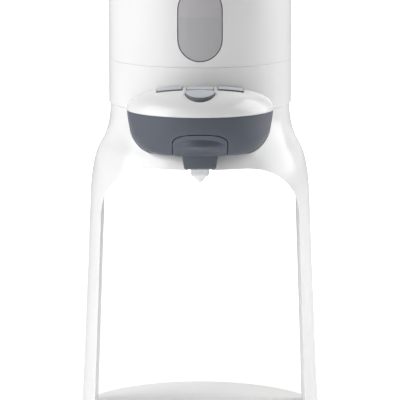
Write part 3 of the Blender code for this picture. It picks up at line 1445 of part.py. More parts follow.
def make_deck():
    deck = rod(
        "chassis_deck",
        (0, 0, DECK_BOTTOM),
        (0, 0, DECK_TOP),
        SPIGOT_OUTER_RADIUS,
        WHITE,
        LARGE_STEPS,
    )
    head_hole = rod(
        "head hole",
        (0, -HEAD_DEPTH, DECK_BOTTOM - OVERRUN),
        (0, -HEAD_DEPTH, DECK_TOP + OVERRUN),
        HEAD_RADIUS + GAP,
        steps=ROUND_STEPS,
    )
    cut(deck, head_hole)
    for name, x, y in deck_screw_places():
        hole = rod(
            f"deck hole {name}",
            (x, y, DECK_BOTTOM - OVERRUN),
            (x, y, DECK_TOP + OVERRUN),
            SCREW_SHAFT_RADIUS + SCREW_CLEARANCE,
        )
        cut(deck, hole)


def make_outlet_head():
    """The water outlet: a stepped plug through the deck, with a barb to its right."""
    flange_bottom = DECK_TOP + GAP
    flange_radius = HEAD_RADIUS + DECK_THICKNESS
    flange_top = flange_bottom + DECK_THICKNESS / 2
    top = DECK_TOP + HEAD_RISE
    bottom = DECK_BOTTOM - HEAD_DROP
    profile = [
        (0, top),
        (HEAD_RADIUS / 2, top),
        (HEAD_RADIUS / 2, flange_top),
        (flange_radius, flange_top),
        (flange_radius, flange_bottom),
        (HEAD_RADIUS, flange_bottom),
        (HEAD_RADIUS, bottom),
        (0, bottom),
    ]
    head = turned("water_outlet_head", profile, CLEAR, ROUND_STEPS, closed=False, at=(0, -HEAD_DEPTH, 0))
    z = top - HOSE_RADIUS
    start = (0, -HEAD_DEPTH, z)
    end = (HEAD_RADIUS / 2 + BARB_LENGTH, -HEAD_DEPTH, z)
    join(head, rod("head barb", start, end, BARB_RADIUS))
    spray = rod(
        "head spray hole",
        (0, -HEAD_DEPTH, bottom - OVERRUN),
        (0, -HEAD_DEPTH, bottom + OVERRUN),
        HEAD_BORE_RADIUS * 2,
    )
    cut(head, spray)
    return end


def make_pump():
    low = DECK_TOP + GAP
    z = low + PUMP_FOOT_HEIGHT + PUMP_RADIUS
    front = (-PUMP_OFFSET, -PUMP_HALF_LENGTH, z)
    back = (-PUMP_OFFSET, PUMP_HALF_LENGTH, z)
    pump = rod("pump", front, back, PUMP_RADIUS, BLACK, ROUND_STEPS)
    foot = box(
        "pump foot",
        (-PUMP_OFFSET - PUMP_FOOT_HALF_WIDTH, -PUMP_HALF_LENGTH / 2, low),
        (-PUMP_OFFSET + PUMP_FOOT_HALF_WIDTH, PUMP_HALF_LENGTH / 2, z),
    )
    outlet = (-PUMP_OFFSET, -PUMP_HALF_LENGTH - BARB_LENGTH, z)
    inlet = (-PUMP_OFFSET + PUMP_RADIUS + BARB_LENGTH, TANK_OUTLET_OFFSET, z)
    outlet_barb = rod("pump outlet barb", (-PUMP_OFFSET, 0, z), outlet, BARB_RADIUS)
    inlet_barb = rod("pump inlet barb", (-PUMP_OFFSET, TANK_OUTLET_OFFSET, z), inlet, BARB_RADIUS)
    join(pump, foot, outlet_barb, inlet_barb)
    return inlet, outlet


def make_heater():
    low = DECK_TOP + GAP
    high = low + HEATER_HEIGHT
    heater = box("flow_heater", (*HEATER_LOW, low), (*HEATER_HIGH, high), STEEL)
    rounding = heater.modifiers.new("rounded edges", "BEVEL")
    rounding.width = HEATER_EDGE_ROUND
    rounding.segments = 2
    z = low + HEATER_HEIGHT / 2
    front = HEATER_LOW[1]
    ports = []
    for name, x in (("in", HEATER_IN_OFFSET), ("out", HEATER_OUT_OFFSET)):
        end = (x, front - BARB_LENGTH, z)
        join(heater, rod(f"heater {name} barb", (x, 0, z), end, BARB_RADIUS))
        ports.append(end)
    x = (HEATER_LOW[0] + HEATER_HIGH[0]) / 2
    rod(
        "temperature_sensor",
        (x, 0, high + GAP),
        (x, 0, high + GAP + SENSOR_HEIGHT),
        SENSOR_RADIUS,
        BLACK,
    )
    return ports


def make_power_board():
    low = DECK_TOP + GAP
    under = low + BOARD_STANDOFF
    top = under + BOARD_THICKNESS
    board = box(
        "power_board",
        (-POWER_BOARD_HALF_WIDTH, POWER_BOARD_FRONT, under),
        (POWER_BOARD_HALF_WIDTH, POWER_BOARD_BACK, top),
        BOARD_GREEN,
    )
    middle = (POWER_BOARD_FRONT + POWER_BOARD_BACK) / 2
    inset = POWER_BOARD_HALF_WIDTH - BOARD_STANDOFF * 2
    for side in (-1, 1):
        x = side * inset
        post = rod(
            f"power post {side}",
            (x, middle, low),
            (x, middle, under + BOARD_THICKNESS / 2),
            BOARD_STANDOFF,
        )
        join(board, post)
    sink = BOARD_THICKNESS / 2
    coil = box(
        "power coil",
        (-inset / 2 - CAPACITOR_RADIUS, POWER_BOARD_FRONT + BOARD_STANDOFF, top - sink),
        (-inset / 2 + CAPACITOR_RADIUS, POWER_BOARD_BACK - BOARD_STANDOFF, top + POWER_PART_HEIGHT),
    )
    capacitor = rod(
        "power capacitor",
        (inset / 2, middle, top - sink),
        (inset / 2, middle, top + POWER_PART_HEIGHT),
        CAPACITOR_RADIUS,
    )
    join(board, coil, capacitor)


def make_hoses(tank_port, pump_ports, heater_ports, head_port):
    """Three short hoses that end face to face with the barbs they belong to."""
    down = Vector((0, 0, -1))
    left = Vector((-1, 0, 0))
    right = Vector((1, 0, 0))
    front = Vector((0, -1, 0))
    back = Vector((0, 1, 0))
    pump_in, pump_out = (Vector(place) for place in pump_ports)
    heater_in, heater_out = (Vector(place) for place in heater_ports)
    tank_out, head_in = Vector(tank_port), Vector(head_port)
    run = BODY_RADIUS - HOUSING_WALL - HOSE_RADIUS * 4
    level = (pump_out.z + heater_in.z) / 2
    hose(
        "hose_tank_to_pump",
        [(tank_out + down * GAP, down), (pump_in + right * GAP, left)],
        SILICONE,
    )
    hose(
        "hose_pump_to_heater",
        [
            (pump_out + front * GAP, front),
            (Vector((0, -run, level)), right),
            (heater_in + front * GAP, back),
        ],
        SILICONE,
    )
    hose(
        "hose_heater_to_outlet",
        [(heater_out + front * GAP, front), (head_in + right * GAP, left)],
        SILICONE,
    )


def make_gland(housing):
    """A bushing through the back of the lower housing for a mains lead."""
    z = DECK_TOP + GLAND_RISE
    outside = BODY_RADIUS + GAP
    inside = BODY_RADIUS - HOUSING_WALL - OVERRUN
    gland = rod(
        "cord_gland",
        (0, inside, z),
        (0, outside + GLAND_COLLAR_THICKNESS, z),
        GLAND_RADIUS,
        RUBBER,
        ROUND_STEPS,
    )
    collar = rod(
        "gland collar",
        (0, outside, z),
        (0, outside + GLAND_COLLAR_THICKNESS, z),
        GLAND_COLLAR_RADIUS,
        steps=ROUND_STEPS,
    )
    cone = rod(
        "gland cone",
        (0, outside + GLAND_COLLAR_THICKNESS / 2, z),
        (0, outside + GLAND_REACH, z),
        GLAND_RADIUS,
        steps=ROUND_STEPS,
        end_radius=GLAND_BORE_RADIUS + GLAND_END_WALL,
    )
    bore = rod(
        "gland bore",
        (0, 0, z),
        (0, outside + GLAND_REACH + OVERRUN, z),
        GLAND_BORE_RADIUS,
        steps=ROUND_STEPS,
    )
    join(gland, collar, cone)
    cut(gland, bore)
    hole = rod("gland hole", (0, 0, z), (0, outside + OVERRUN, z), GLAND_RADIUS + GAP, steps=ROUND_STEPS)
    cut(housing, hole)


def main():
    disc = make_base()
    make_stand()
    make_leg_anchors(disc)
    make_gland(make_lower_housing())
    make_upper_housing()
    tank_port = make_tank()
    make_top()
    make_nose()
    make_drawer()
    make_deck()
    head_port = make_outlet_head()
    pump_ports = make_pump()
    heater_ports = make_heater()
    make_power_board()
    make_hoses(tank_port, pump_ports, heater_ports, head_port)
    for obj in PARTS.objects:
        if obj.type == "MESH":
            smooth(obj)


clear_scene()
PARTS = collection(COLLECTION_NAME)
CUTTERS = collection("cutters")
main()
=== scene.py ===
"""Looks of the baby formula maker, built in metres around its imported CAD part."""

import math

import bmesh
import bpy
import numpy as np
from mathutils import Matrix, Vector
from mathutils.bvhtree import BVHTree


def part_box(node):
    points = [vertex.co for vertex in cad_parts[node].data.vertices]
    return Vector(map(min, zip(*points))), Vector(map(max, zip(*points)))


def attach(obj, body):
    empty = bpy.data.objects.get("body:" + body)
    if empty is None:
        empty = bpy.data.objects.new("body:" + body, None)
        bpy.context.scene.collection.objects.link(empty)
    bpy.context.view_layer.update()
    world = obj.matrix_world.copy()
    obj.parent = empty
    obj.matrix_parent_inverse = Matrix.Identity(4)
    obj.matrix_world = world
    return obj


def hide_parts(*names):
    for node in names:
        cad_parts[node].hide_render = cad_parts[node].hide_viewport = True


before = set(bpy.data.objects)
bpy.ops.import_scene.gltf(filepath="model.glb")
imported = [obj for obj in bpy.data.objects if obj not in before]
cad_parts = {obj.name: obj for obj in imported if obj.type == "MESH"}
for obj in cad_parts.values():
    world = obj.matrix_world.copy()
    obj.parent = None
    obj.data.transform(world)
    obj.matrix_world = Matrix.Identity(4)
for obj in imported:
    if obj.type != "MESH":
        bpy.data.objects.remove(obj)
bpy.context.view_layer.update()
scene = bpy.context.scene

# The camera of the photograph
FOCAL_LENGTH = 235.8
SENSOR_WIDTH = 36.0
CAMERA_DISTANCE = 1.7684
CAMERA_HEIGHT = 0.4694
CAMERA_TILT = math.radians(9.83)
NEAR_CLIP = 0.05
FAR_CLIP = 20.0

# Machine
BODY_RADIUS = 0.0620
HOUSING_WALL = 0.0025
PARTING_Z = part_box("lower_housing")[0].z
SEAM_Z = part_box("lower_housing")[1].z
HOUSING_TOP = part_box("upper_housing")[1].z
BASE_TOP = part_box("base_disc")[1].z
FINE_GAP = 0.0003
PART_LINE = 0.0006
AROUND = 192

# Rounding of edges, from a fine break to a soft one
EDGE_BREAK = 0.0003
EDGE_FINE = 0.0004
EDGE_SOFT = 0.0006
EDGE_ROUND = 0.0010
STAND_EDGE = 0.0009

# Cutters reach past the form that they cut
FRONT_REACH = 0.12
WINDOW_CUT = (-0.08, -0.02)
FACE_CUT = (-0.12, -0.02)
CUT_MARGIN = 0.004

# Bell of the stand: share of its height, then share of its flare from neck to foot
NECK_RADIUS = 0.0608
FOOT_RADIUS = 0.0820
SHELL_WALL = 0.0025
BELL_HEIGHT = PARTING_Z - BASE_TOP
BELL_SHARES = (
    (0.000, 1.000),
    (0.181, 0.896),
    (0.347, 0.825),
    (0.514, 0.745),
    (0.676, 0.679),
    (0.778, 0.604),
    (0.824, 0.515),
    (0.861, 0.385),
    (0.894, 0.203),
    (0.920, 0.105),
    (0.954, 0.038),
    (1.000, 0.000),
)
SPIGOT_RADIUS = 0.0592
SPIGOT_WALL = 0.0023
SPIGOT_HEIGHT = 0.0055

# Tunnel through the stand
CROWN_HEIGHT = 0.1810
SPRING_HEIGHT = 0.1420
SPRING_HALF_WIDTH = 0.0666
TUNNEL_LEAN = 0.0054
CROWN_HALF_FLAT = 0.0270
CORNER_POWER = 2 / 2.2
CORNER_WIDTH = SPRING_HALF_WIDTH - CROWN_HALF_FLAT
CORNER_HEIGHT = CROWN_HEIGHT - SPRING_HEIGHT
LINER_WALL = 0.0020
INNER_NECK_RUN = 0.02
NOTCH_HALF_WIDTH = 0.008
NOTCH_DROP = 0.004
NOTCH_LAP = 0.002
LINING_NOTCH_RISE = 0.006
NOZZLE_ROOM = 0.0066

# Base, window, top ring and lid
BASE_RADIUS = 0.0900
BASE_WALL = 0.0030
BASE_TOP_ROUND = 0.0030
FOOT_DISH = 0.0004
FOOT_FLAT_SHARE = 0.55
FOOT_EDGE_SHARE = 0.65
FOOT_TOP_EDGE = 0.0002
SEAM_LAP = 0.0001
LIP_WALL = 0.0018
LEDGE_REACH = 0.0052
LEDGE_THICKNESS = 0.0024
WINDOW_HALF_WIDTH = 0.01485
WINDOW_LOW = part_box("window_lens")[0].z - FINE_GAP
WINDOW_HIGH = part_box("window_lens")[1].z + FINE_GAP
WINDOW_RIM = 0.0006
PANE_SETBACK = 0.0002
PANE_WALL = 0.002
PANE_LAP = 0.004
WATER_LEVEL = 0.2946
LID_RADIUS = 0.0489
MOUTH_RADIUS = 0.0460
HINGE_Y = 0.0525
HINGE_Z = 0.3263
BARREL_HALF = 0.0110
BARREL_RADIUS = 0.0027
PIN_BORE_RADIUS = 0.0017
HINGE_SLOT_REACH = 0.0045
RECESS_GAP = 0.0007
RING_CEILING = 0.0060
RING_ROUND = 0.0068
LID_EDGE = 0.0027
LID_RISE = 0.0017
LID_DOME_SHARE = 0.985
LID_BROW = 0.0002
PLUG_CLEARANCE = 0.0026
PLUG_DEPTH = 0.0053
PLUG_WALL = 0.002
PLUG_ROUND = 0.0005
LID_TAB_LAP = 0.007
LID_TAB_HALF = 0.009
LID_TAB_CORNER = 0.0018
LID_TAB_ROOT = 0.0478
LID_TAB_STEP = 0.0005

# Keys
SIDE_KEY_RADIUS = 0.0630
SIDE_KEY_START = 0.0121
SIDE_KEY_END = 0.0283
STRIP_RADIUS = 0.0640
STRIP_HALF = 0.0087
START_HALF = 0.0097
START_BACK = -0.0700
START_DEPTH = 0.0072
START_RISE = 0.0017
SIDE_KEY_DEPTH = 0.0037
STRIP_DEPTH = 0.0040
KEY_RISE = 0.0010
KEY_GAP = 0.0005
KEY_LIFT = 0.0008
# How far the dark sheet under each key sits below its cap and reaches past its edge; the rim that
# shows is painted shade
SHADE_SKIRT_DROP = 0.0003
SHADE_SKIRT_GROW = 0.00015
FRONT_GAP_SHARE = 2.4
WELL_FLOOR = 0.006
WELL_TOP = 0.03

# Nose, keys and drawer: ovals about a centre in front of the machine's axis
NOSE_CENTRE = Vector((0, -0.0400, PARTING_Z))
NOSE_SIZE = Vector((0.0490, 0.0440, 0.0203))
NOSE_TRIM = 0.0002
BODY_ROOM_REACH = 0.1
DRAWER_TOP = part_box("drawer_front")[1].z
DRAWER_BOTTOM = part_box("drawer_front")[0].z
DRAWER_HALF_WIDTH = 0.0486
DRAWER_HALF_DEPTH = 0.0436
DRAWER_WALL = 0.0022
HOLLOW_RISE = 0.003
# The drawer's widest place moves forward towards its underside
CHIN_REACH = 0.0165
CHIN_POWER = 2.5
# Share of the drawer's height below its top, then shares of its half width and of its reach
DRAWER_SHARES = (
    (0.00, 1.000, 1.000),
    (0.22, 0.982, 0.990),
    (0.45, 0.957, 0.972),
    (0.60, 0.937, 0.952),
    (0.73, 0.898, 0.930),
    (0.85, 0.836, 0.903),
    (0.94, 0.762, 0.872),
    (1.00, 0.665, 0.838),
)
HANDLE_HALF_WIDTH = 0.0184
HANDLE_TOP_DROP = 0.0113
HANDLE_ARCH = 0.0068
HANDLE_RUN = 0.003
HANDLE_EDGE = 0.0005
ARCH_POWER = 2 / 2.55
THUMB_Z = DRAWER_BOTTOM + 0.0066
THUMB_REACH = 0.0030
THUMB_HALF_WIDTH = 0.0168
THUMB_HALF_HEIGHT = 0.0052
THUMB_POWER = 1.5
TAB_TOP_HALF_WIDTH = 0.0120
TAB_LOW_HALF_WIDTH = 0.0106
TAB_LENGTH = 0.0088
TAB_LAP = 0.0011
TAB_CORNER = 0.0018
TAB_SETBACK = 0.0006
TAB_SIDE_RUN = 0.004
# Depth behind the tab's face, then how far its edge is drawn in there
TAB_LAYERS = ((0, 0.0008), (0.0003, 0.0002), (0.0009, 0), (0.0030, 0))
TONGUE_HALF_WIDTH = 0.0180
TONGUE_FRONT = -0.0509
TONGUE_BACK = -0.0281
TONGUE_TOP = 0.0043
BORE_REACH = 0.01

# Nozzle, with heights above its tip
NOZZLE_OUTER = 0.0063
NOZZLE_BORE = 0.0045
NOZZLE_LIP = 0.0054
NOZZLE_SHOULDER = 0.0042
NOZZLE_TIP = 0.0013
NOZZLE_TIP_BORE = 0.0009
COLLAR_Z = 0.0052
LIP_Z = 0.0040
SHOULDER_Z = 0.0036
TIP_BORE_Z = 0.0030
BORE_Z = 0.0075

# Light: each lamp's name, place, size and power, and the strength of the white surround
LAMPS = (
    ("left soft box", (-1.08, -0.46, 0.75), (1.2, 1.2), 15.6),
    ("right soft box", (1.04, 0.18, 0.75), (1.0, 1.2), 13.2),
    ("low front card", (0.0, -0.24, 0.02), (0.3, 0.1), 0.30),
)
LAMP_TARGET = (0, 0, 0.18)
FILL = 0.09
BACK_FILL = 0.60
FLOOR_REACH = 4.0
GLOW_PER_METRE = 1.2
GLOW = 0.2


class Value:
    """A number in a material that varies over the surface. Sums with it add Math nodes."""

    def __init__(self, socket):
        self.socket = socket

    def sum(self, operation, first, second):
        tree = self.socket.id_data
        node = tree.nodes.new("ShaderNodeMath")
        node.operation = operation
        for entry, term in zip(node.inputs, (first, second)):
            if isinstance(term, Value):
                tree.links.new(term.socket, entry)
            else:
                entry.default_value = term
        return Value(node.outputs[0])

    def __add__(self, other):
        return self.sum("ADD", self, other)

    def __radd__(self, other):
        return self.sum("ADD", other, self)

    def __sub__(self, other):
        return self.sum("SUBTRACT", self, other)

    def __rsub__(self, other):
        return self.sum("SUBTRACT", other, self)

    def __mul__(self, other):
        return self.sum("MULTIPLY", self, other)

    def __rmul__(self, other):
        return self.sum("MULTIPLY", other, self)

    def most(self, other):
        return self.sum("MAXIMUM", self, other)

    def above(self, other):
        return self.sum("GREATER_THAN", self, other)


class Finish:
    """A procedural finish around one Principled shader."""

    def __init__(self, name, colour, metallic=0.0, **constants):
        self.material = bpy.data.materials.new(name)
        self.material.use_nodes = True
        self.tree = self.material.node_tree
        self.shader = self.tree.nodes["Principled BSDF"]
        self.colour = (*colour, 1.0)
        self.set(**{"Base Color": self.colour, "Metallic": metallic}, **constants)
        self.place = self.node("ShaderNodeTexCoord", output="Object")

    def node(self, kind, settings=None, values=None, output=0):
        made = self.tree.nodes.new(kind)
        for name, setting in (settings or {}).items():
            setattr(made, name, setting)
        for name, value in (values or {}).items():
            self.put(made.inputs[name], value)
        return Value(made.outputs[output])

    def put(self, socket, value):
        if isinstance(value, Value):
            self.tree.links.new(value.socket, socket)
        else:
            socket.default_value = value

    def set(self, **values):
        for name, value in values.items():
            self.put(self.shader.inputs[name.replace("_", " ")], value)

    def noise(self, scale, detail=3.0, output="Fac"):
        values = {"Vector": self.place, "Scale": scale, "Detail": detail}
        return self.node("ShaderNodeTexNoise", values=values, output=output)

    def mix(self, factor, first, second):
        values = {6: first, 7: second, 0: factor}
        return self.node("ShaderNodeMix", {"data_type": "RGBA"}, values, output=2)

    def tone(self, factor, share):
        """Lets the base colour grow darker by a share where the factor is 1."""
        darker = (*[part * (1 - share) for part in self.colour[:3]], 1.0)
        self.set(**{"Base Color": self.mix(factor, self.colour, darker)})

    def relief(self, height, distance, strength=1.0):
        values = {"Height": height, "Distance": distance, "Strength": strength}
        self.set(Normal=self.node("ShaderNodeBump", values=values))


def moulded(name, colour, roughness, spread, grain, depth, **constants):
    """Moulded plastic: faint clouds in tone and gloss, and a fine moulded grain."""
    finish = Finish(name, colour, **constants)
    clouds = finish.noise(24.0)
    finish.tone(clouds, 0.035)
    finish.set(Roughness=roughness - spread / 2 + finish.noise(160.0) * spread)
    finish.relief(finish.noise(grain, 2.0), depth)
    return finish


def water_window():
    """Smoked window: a little darker below the level line of the water behind it."""
    finish = Finish("smoked_window", (0.52, 0.51, 0.525), Coat_Weight=0.4, Coat_Roughness=0.05)
    height = finish.node("ShaderNodeSeparateXYZ", values={0: finish.place}, output="Z")
    ripple = finish.noise(90.0) * 0.0004
    wet = (WATER_LEVEL + ripple - height).above(0.0)
    finish.tone(wet * 0.7 + finish.noise(40.0) * 0.3, 0.09)
    finish.set(Roughness=0.10 + finish.noise(220.0) * 0.08)
    finish.relief(finish.noise(60.0, 1.0), 0.00004)
    return finish


def brushed(name, colour, roughness):
    """Machined metal with fine turning marks."""
    finish = Finish(name, colour, metallic=1.0)
    marks = finish.node(
        "ShaderNodeTexWave",
        {"wave_type": "RINGS", "rings_direction": "Z"},
        {"Vector": finish.place, "Scale": 900.0, "Distortion": 1.5},
    )
    finish.tone(finish.noise(300.0), 0.12)
    finish.set(Roughness=roughness + finish.noise(500.0) * 0.12)
    finish.relief(marks, 0.00002)
    return finish


def circuit_board():
    """Green board with lighter copper runs under its mask."""
    finish = Finish("board_green", (0.02, 0.14, 0.06))
    runs = finish.node(
        "ShaderNodeTexBrick",
        {"offset": 0.35},
        {"Vector": finish.place, "Scale": 260.0, "Mortar Size": 0.012},
        output="Fac",
    )
    finish.set(**{"Base Color": finish.mix(runs, finish.colour, (0.07, 0.27, 0.12, 1.0))})
    finish.set(Roughness=0.34 + finish.noise(400.0) * 0.16)
    finish.relief(runs, 0.00003)
    return finish


GLOSS_WHITE = moulded("gloss_white", (0.86, 0.86, 0.865), 0.20, 0.08, 700.0, 0.000012)
LINING_WHITE = moulded("lining_white", (0.82, 0.82, 0.84), 0.30, 0.08, 1400.0, 0.00003)
BASE_WHITE = moulded("base_white", (0.92, 0.915, 0.905), 0.32, 0.08, 1800.0, 0.00003)
SLATE = moulded("satin_slate", (0.085, 0.097, 0.122), 0.38, 0.08, 2600.0, 0.00004)
KEY_GREY = moulded("satin_key", (0.63, 0.655, 0.70), 0.34, 0.08, 2200.0, 0.00003)
# Dark grey for the sheet under each key: painted shade for the shadowed gap and front wall round
# the key
KEY_SHADE_SKIRT = moulded("key_skirt", (0.15, 0.155, 0.17), 0.40, 0.08, 2200.0, 0.00003)
CLEAR = moulded(
    "clear_plastic",
    (0.93, 0.95, 0.96),
    roughness=0.07,
    spread=0.04,
    grain=300.0,
    depth=0.00002,
    Transmission_Weight=0.92,
    IOR=1.45,
)
NOZZLE = moulded(
    "frosted_nozzle",
    (0.93, 0.93, 0.935),
    roughness=0.42,
    spread=0.08,
    grain=900.0,
    depth=0.00002,
    Transmission_Weight=0.12,
    IOR=1.35,
)
SILICONE = moulded("soft_silicone", (0.66, 0.67, 0.68), 0.52, 0.12, 1500.0, 0.00006)
RUBBER = moulded("foot_rubber", (0.045, 0.045, 0.05), 0.72, 0.14, 1200.0, 0.0001)
BLACK = moulded("black_plastic", (0.03, 0.03, 0.033), 0.44, 0.10, 1800.0, 0.00005)
STEEL = brushed("bright_steel", (0.62, 0.62, 0.63), 0.24)
HEATER_METAL = brushed("cast_heater", (0.50, 0.50, 0.51), 0.38)
BOARD = circuit_board()
WINDOW = water_window()

# Which body each drawn piece moves with
STILL = "machine"
LID = "tank_lid"
DRAWER = "powder_drawer"
SPOUT = "spout"

SLOT_FINISHES = {
    "white_shell": GLOSS_WHITE,
    "white_liner": LINING_WHITE,
    "slate_plastic": SLATE,
    "key_grey": KEY_GREY,
    "window_grey": WINDOW,
    "clear_plastic": CLEAR,
    "nozzle_clear": NOZZLE,
    "silicone": SILICONE,
    "foot_rubber": RUBBER,
    "steel": STEEL,
    "heater_metal": HEATER_METAL,
    "circuit_board": BOARD,
    "black_plastic": BLACK,
}


def dress_nodes():
    """Gives each CAD node the finish of the material slot that it was packed with."""
    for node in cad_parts.values():
        for holder in node.material_slots:
            holder.material = SLOT_FINISHES[holder.material.name].material


def grid_faces(rows, columns, around=False, first=0):
    """Four-sided faces between rows of points that follow each other in a list."""
    faces = []
    for row in range(rows - 1):
        for column in range(columns if around else columns - 1):
            after = (column + 1) % columns
            low = first + row * columns
            high = low + columns
            faces.append((low + column, low + after, high + after, high + column))
    return faces


def mesh_of(name, points, faces, merge=1e-6):
    mesh = bpy.data.meshes.new(name)
    mesh.from_pydata([tuple(point) for point in points], [], faces)
    bm = bmesh.new()
    bm.from_mesh(mesh)
    bmesh.ops.remove_doubles(bm, verts=bm.verts, dist=merge)
    bmesh.ops.recalc_face_normals(bm, faces=bm.faces)
    bm.to_mesh(mesh)
    bm.free()
    return mesh


def piece(name, mesh, finish, body, *nodes, sharp=40):
    """Adds a drawn piece that stands for CAD nodes and moves with their body."""
    obj = bpy.data.objects.new(name, mesh)
    scene.collection.objects.link(obj)
    mesh.materials.clear()
    mesh.materials.append(finish.material)
    mesh.shade_smooth()
    mesh.set_sharp_from_angle(angle=math.radians(sharp))
    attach(obj, body)
    if nodes:
        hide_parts(*nodes)
    return obj


def rounded(corners, steps=5):
    """A profile of (across, height, radius) corners with each corner rounded by its radius."""
    points = []
    count = len(corners)
    for index, (across, height, radius) in enumerate(corners):
        corner = Vector((across, height))
        if radius == 0 or index in (0, count - 1):
            points.append(corner)
            continue
        before = Vector(corners[index - 1][:2]) - corner
        after = Vector(corners[index + 1][:2]) - corner
        opening = before.angle(after)
        reach = min(radius / math.tan(opening / 2), before.length * 0.49, after.length * 0.49)
        start = corner + before.normalized() * reach
        end = corner + after.normalized() * reach
        for step in range(steps + 1):
            share = step / steps
            points.append(
                start * (1 - share) ** 2 + corner * (2 * share * (1 - share)) + end * share**2
            )
    return points


def held(profile, near=0.0004):
    """The profile with extra points close to the ends of its long runs, which keep flats flat."""
    points = [Vector(profile[0][:2])]
    for first, second in zip(profile, profile[1:]):
        start, end = Vector(first[:2]), Vector(second[:2])
        run = end - start
        if run.length > near * 5:
            points.append(start + run.normalized() * near)
            points.append(end - run.normalized() * near)
        points.append(end)
    return points


def lathe(name, profile, closed=False, steps=AROUND, centre=(0, 0)):
    """A mesh turned about an upright axis from a profile of (radius, height)."""
    rows = held([*profile, profile[0]] if closed else profile)
    points = []
    for radius, height in rows:
        for step in range(steps):
            angle = math.tau * step / steps
            points.append(
                (
                    centre[0] + radius * math.cos(angle),
                    centre[1] + radius * math.sin(angle),
                    height,
                )
            )
    return mesh_of(name, points, grid_faces(len(rows), steps, around=True))


def prism(name, outline, low, high, plane="XZ"):
    """A cutter: a flat outline, thick from low to high along the plane's normal."""
    count = len(outline)
    points = []
    for depth in (low, high):
        for across, up in outline:
            points.append((across, depth, up) if plane == "XZ" else (across, up, depth))
    faces = grid_faces(2, count, around=True)
    faces.append(tuple(range(count)))
    faces.append(tuple(range(count, 2 * count)))
    return cutter(mesh_of(name, points, faces))


def cutter(mesh):
    obj = bpy.data.objects.new(mesh.name, mesh)
    scene.collection.objects.link(obj)
    return obj


def carve(obj, steps, round_edge=0.0):
    """Cuts or keeps by a list of (operation, cutter), with the uncut form's smooth shading."""
    uncut = obj.data.copy()
    for operation, tool in steps:
        change = obj.modifiers.new(tool.name, "BOOLEAN")
        change.operation = operation
        change.object = tool
        change.solver = "EXACT"
    if round_edge:
        edge = obj.modifiers.new("rounded edges", "BEVEL")
        edge.width = round_edge
        edge.segments = 3
        edge.limit_method = "ANGLE"
        edge.angle_limit = math.radians(40)
        edge.use_clamp_overlap = True
    graph = bpy.context.evaluated_depsgraph_get()
    graph.update()
    carved = bpy.data.meshes.new_from_object(obj.evaluated_get(graph))
    obj.modifiers.clear()
    obj.data = carved
    for _, tool in steps:
        bpy.data.objects.remove(tool, do_unlink=True)
    copy_shading(carved, uncut)
    return obj


def copy_shading(mesh, source, near=0.0004):
    """Gives corners that lie on the source's surface the source's smooth normals."""
    graph = bmesh.new()
    graph.from_mesh(source)
    graph.faces.ensure_lookup_table()
    tree = BVHTree.FromBMesh(graph)
    corner_normals = source.corner_normals
    normals = []
    for face in mesh.polygons:
        place, _, index, distance = tree.find_nearest(face.center)
        origin = graph.faces[index]
        on_surface = distance < near and face.normal.dot(origin.normal) > 0.9
        for loop in face.loop_indices:
            corner = mesh.vertices[mesh.loops[loop].vertex_index].co
            if not on_surface:
                normals.append(mesh.corner_normals[loop].vector)
                continue
            _, _, index, _ = tree.find_nearest(corner)
            source_face = graph.faces[index]
            if source_face.normal.dot(face.normal) < 0.9:
                source_face = origin
            weights = []
            blended = Vector()
            polygon = source.polygons[source_face.index]
            for spot, vertex in zip(polygon.loop_indices, polygon.vertices):
                away = (source.vertices[vertex].co - corner).length
                weight = 1 / (away + 1e-7) ** 2
                weights.append(weight)
                blended += corner_normals[spot].vector * weight
            normals.append(blended.normalized())
    graph.free()
    mesh.normals_split_custom_set([tuple(normal) for normal in normals])


def smooth_through(stations, samples):
    """A smooth curve of values through (place, value) stations, at the sample places."""
    places = np.array([place for place, _ in stations])
    values = np.array([value for _, value in stations])
    slopes = np.gradient(values, places)
    samples = np.asarray(samples, dtype=float)
    index = np.clip(np.searchsorted(places, samples) - 1, 0, len(places) - 2)
    width = places[index + 1] - places[index]
    share = np.clip((samples - places[index]) / width, 0, 1)
    start = (1 + 2 * share) * (1 - share) ** 2
    lean_in = share * (1 - share) ** 2
    end = share**2 * (3 - 2 * share)
    lean_out = share**2 * (share - 1)
    return (
        values[index] * start
        + slopes[index] * width * lean_in
        + values[index + 1] * end
        + slopes[index + 1] * width * lean_out
    )


def bell_radius(height):
    """The stand's outer radius at a height in the scene."""
    share = np.clip((np.asarray(height) - BASE_TOP) / BELL_HEIGHT, 0, 1)
    flare = smooth_through(BELL_SHARES, share)
    return NECK_RADIUS + (FOOT_RADIUS - NECK_RADIUS) * flare


def tunnel_side():
    """The tunnel's right side from its foot to its crown, as (half width, height)."""
    lean = TUNNEL_LEAN / SPRING_HEIGHT
    side = []
    for height in np.linspace(FINE_GAP, SPRING_HEIGHT, 30)[:-1]:
        side.append((SPRING_HALF_WIDTH + lean * (SPRING_HEIGHT - height), BASE_TOP + height))
    for step in range(41):
        angle = math.radians(90) * step / 40
        across = CROWN_HALF_FLAT + CORNER_WIDTH * max(math.cos(angle), 0) ** CORNER_POWER
        up = SPRING_HEIGHT + CORNER_HEIGHT * math.sin(angle) ** CORNER_POWER
        side.append((across, BASE_TOP + up))
    return side


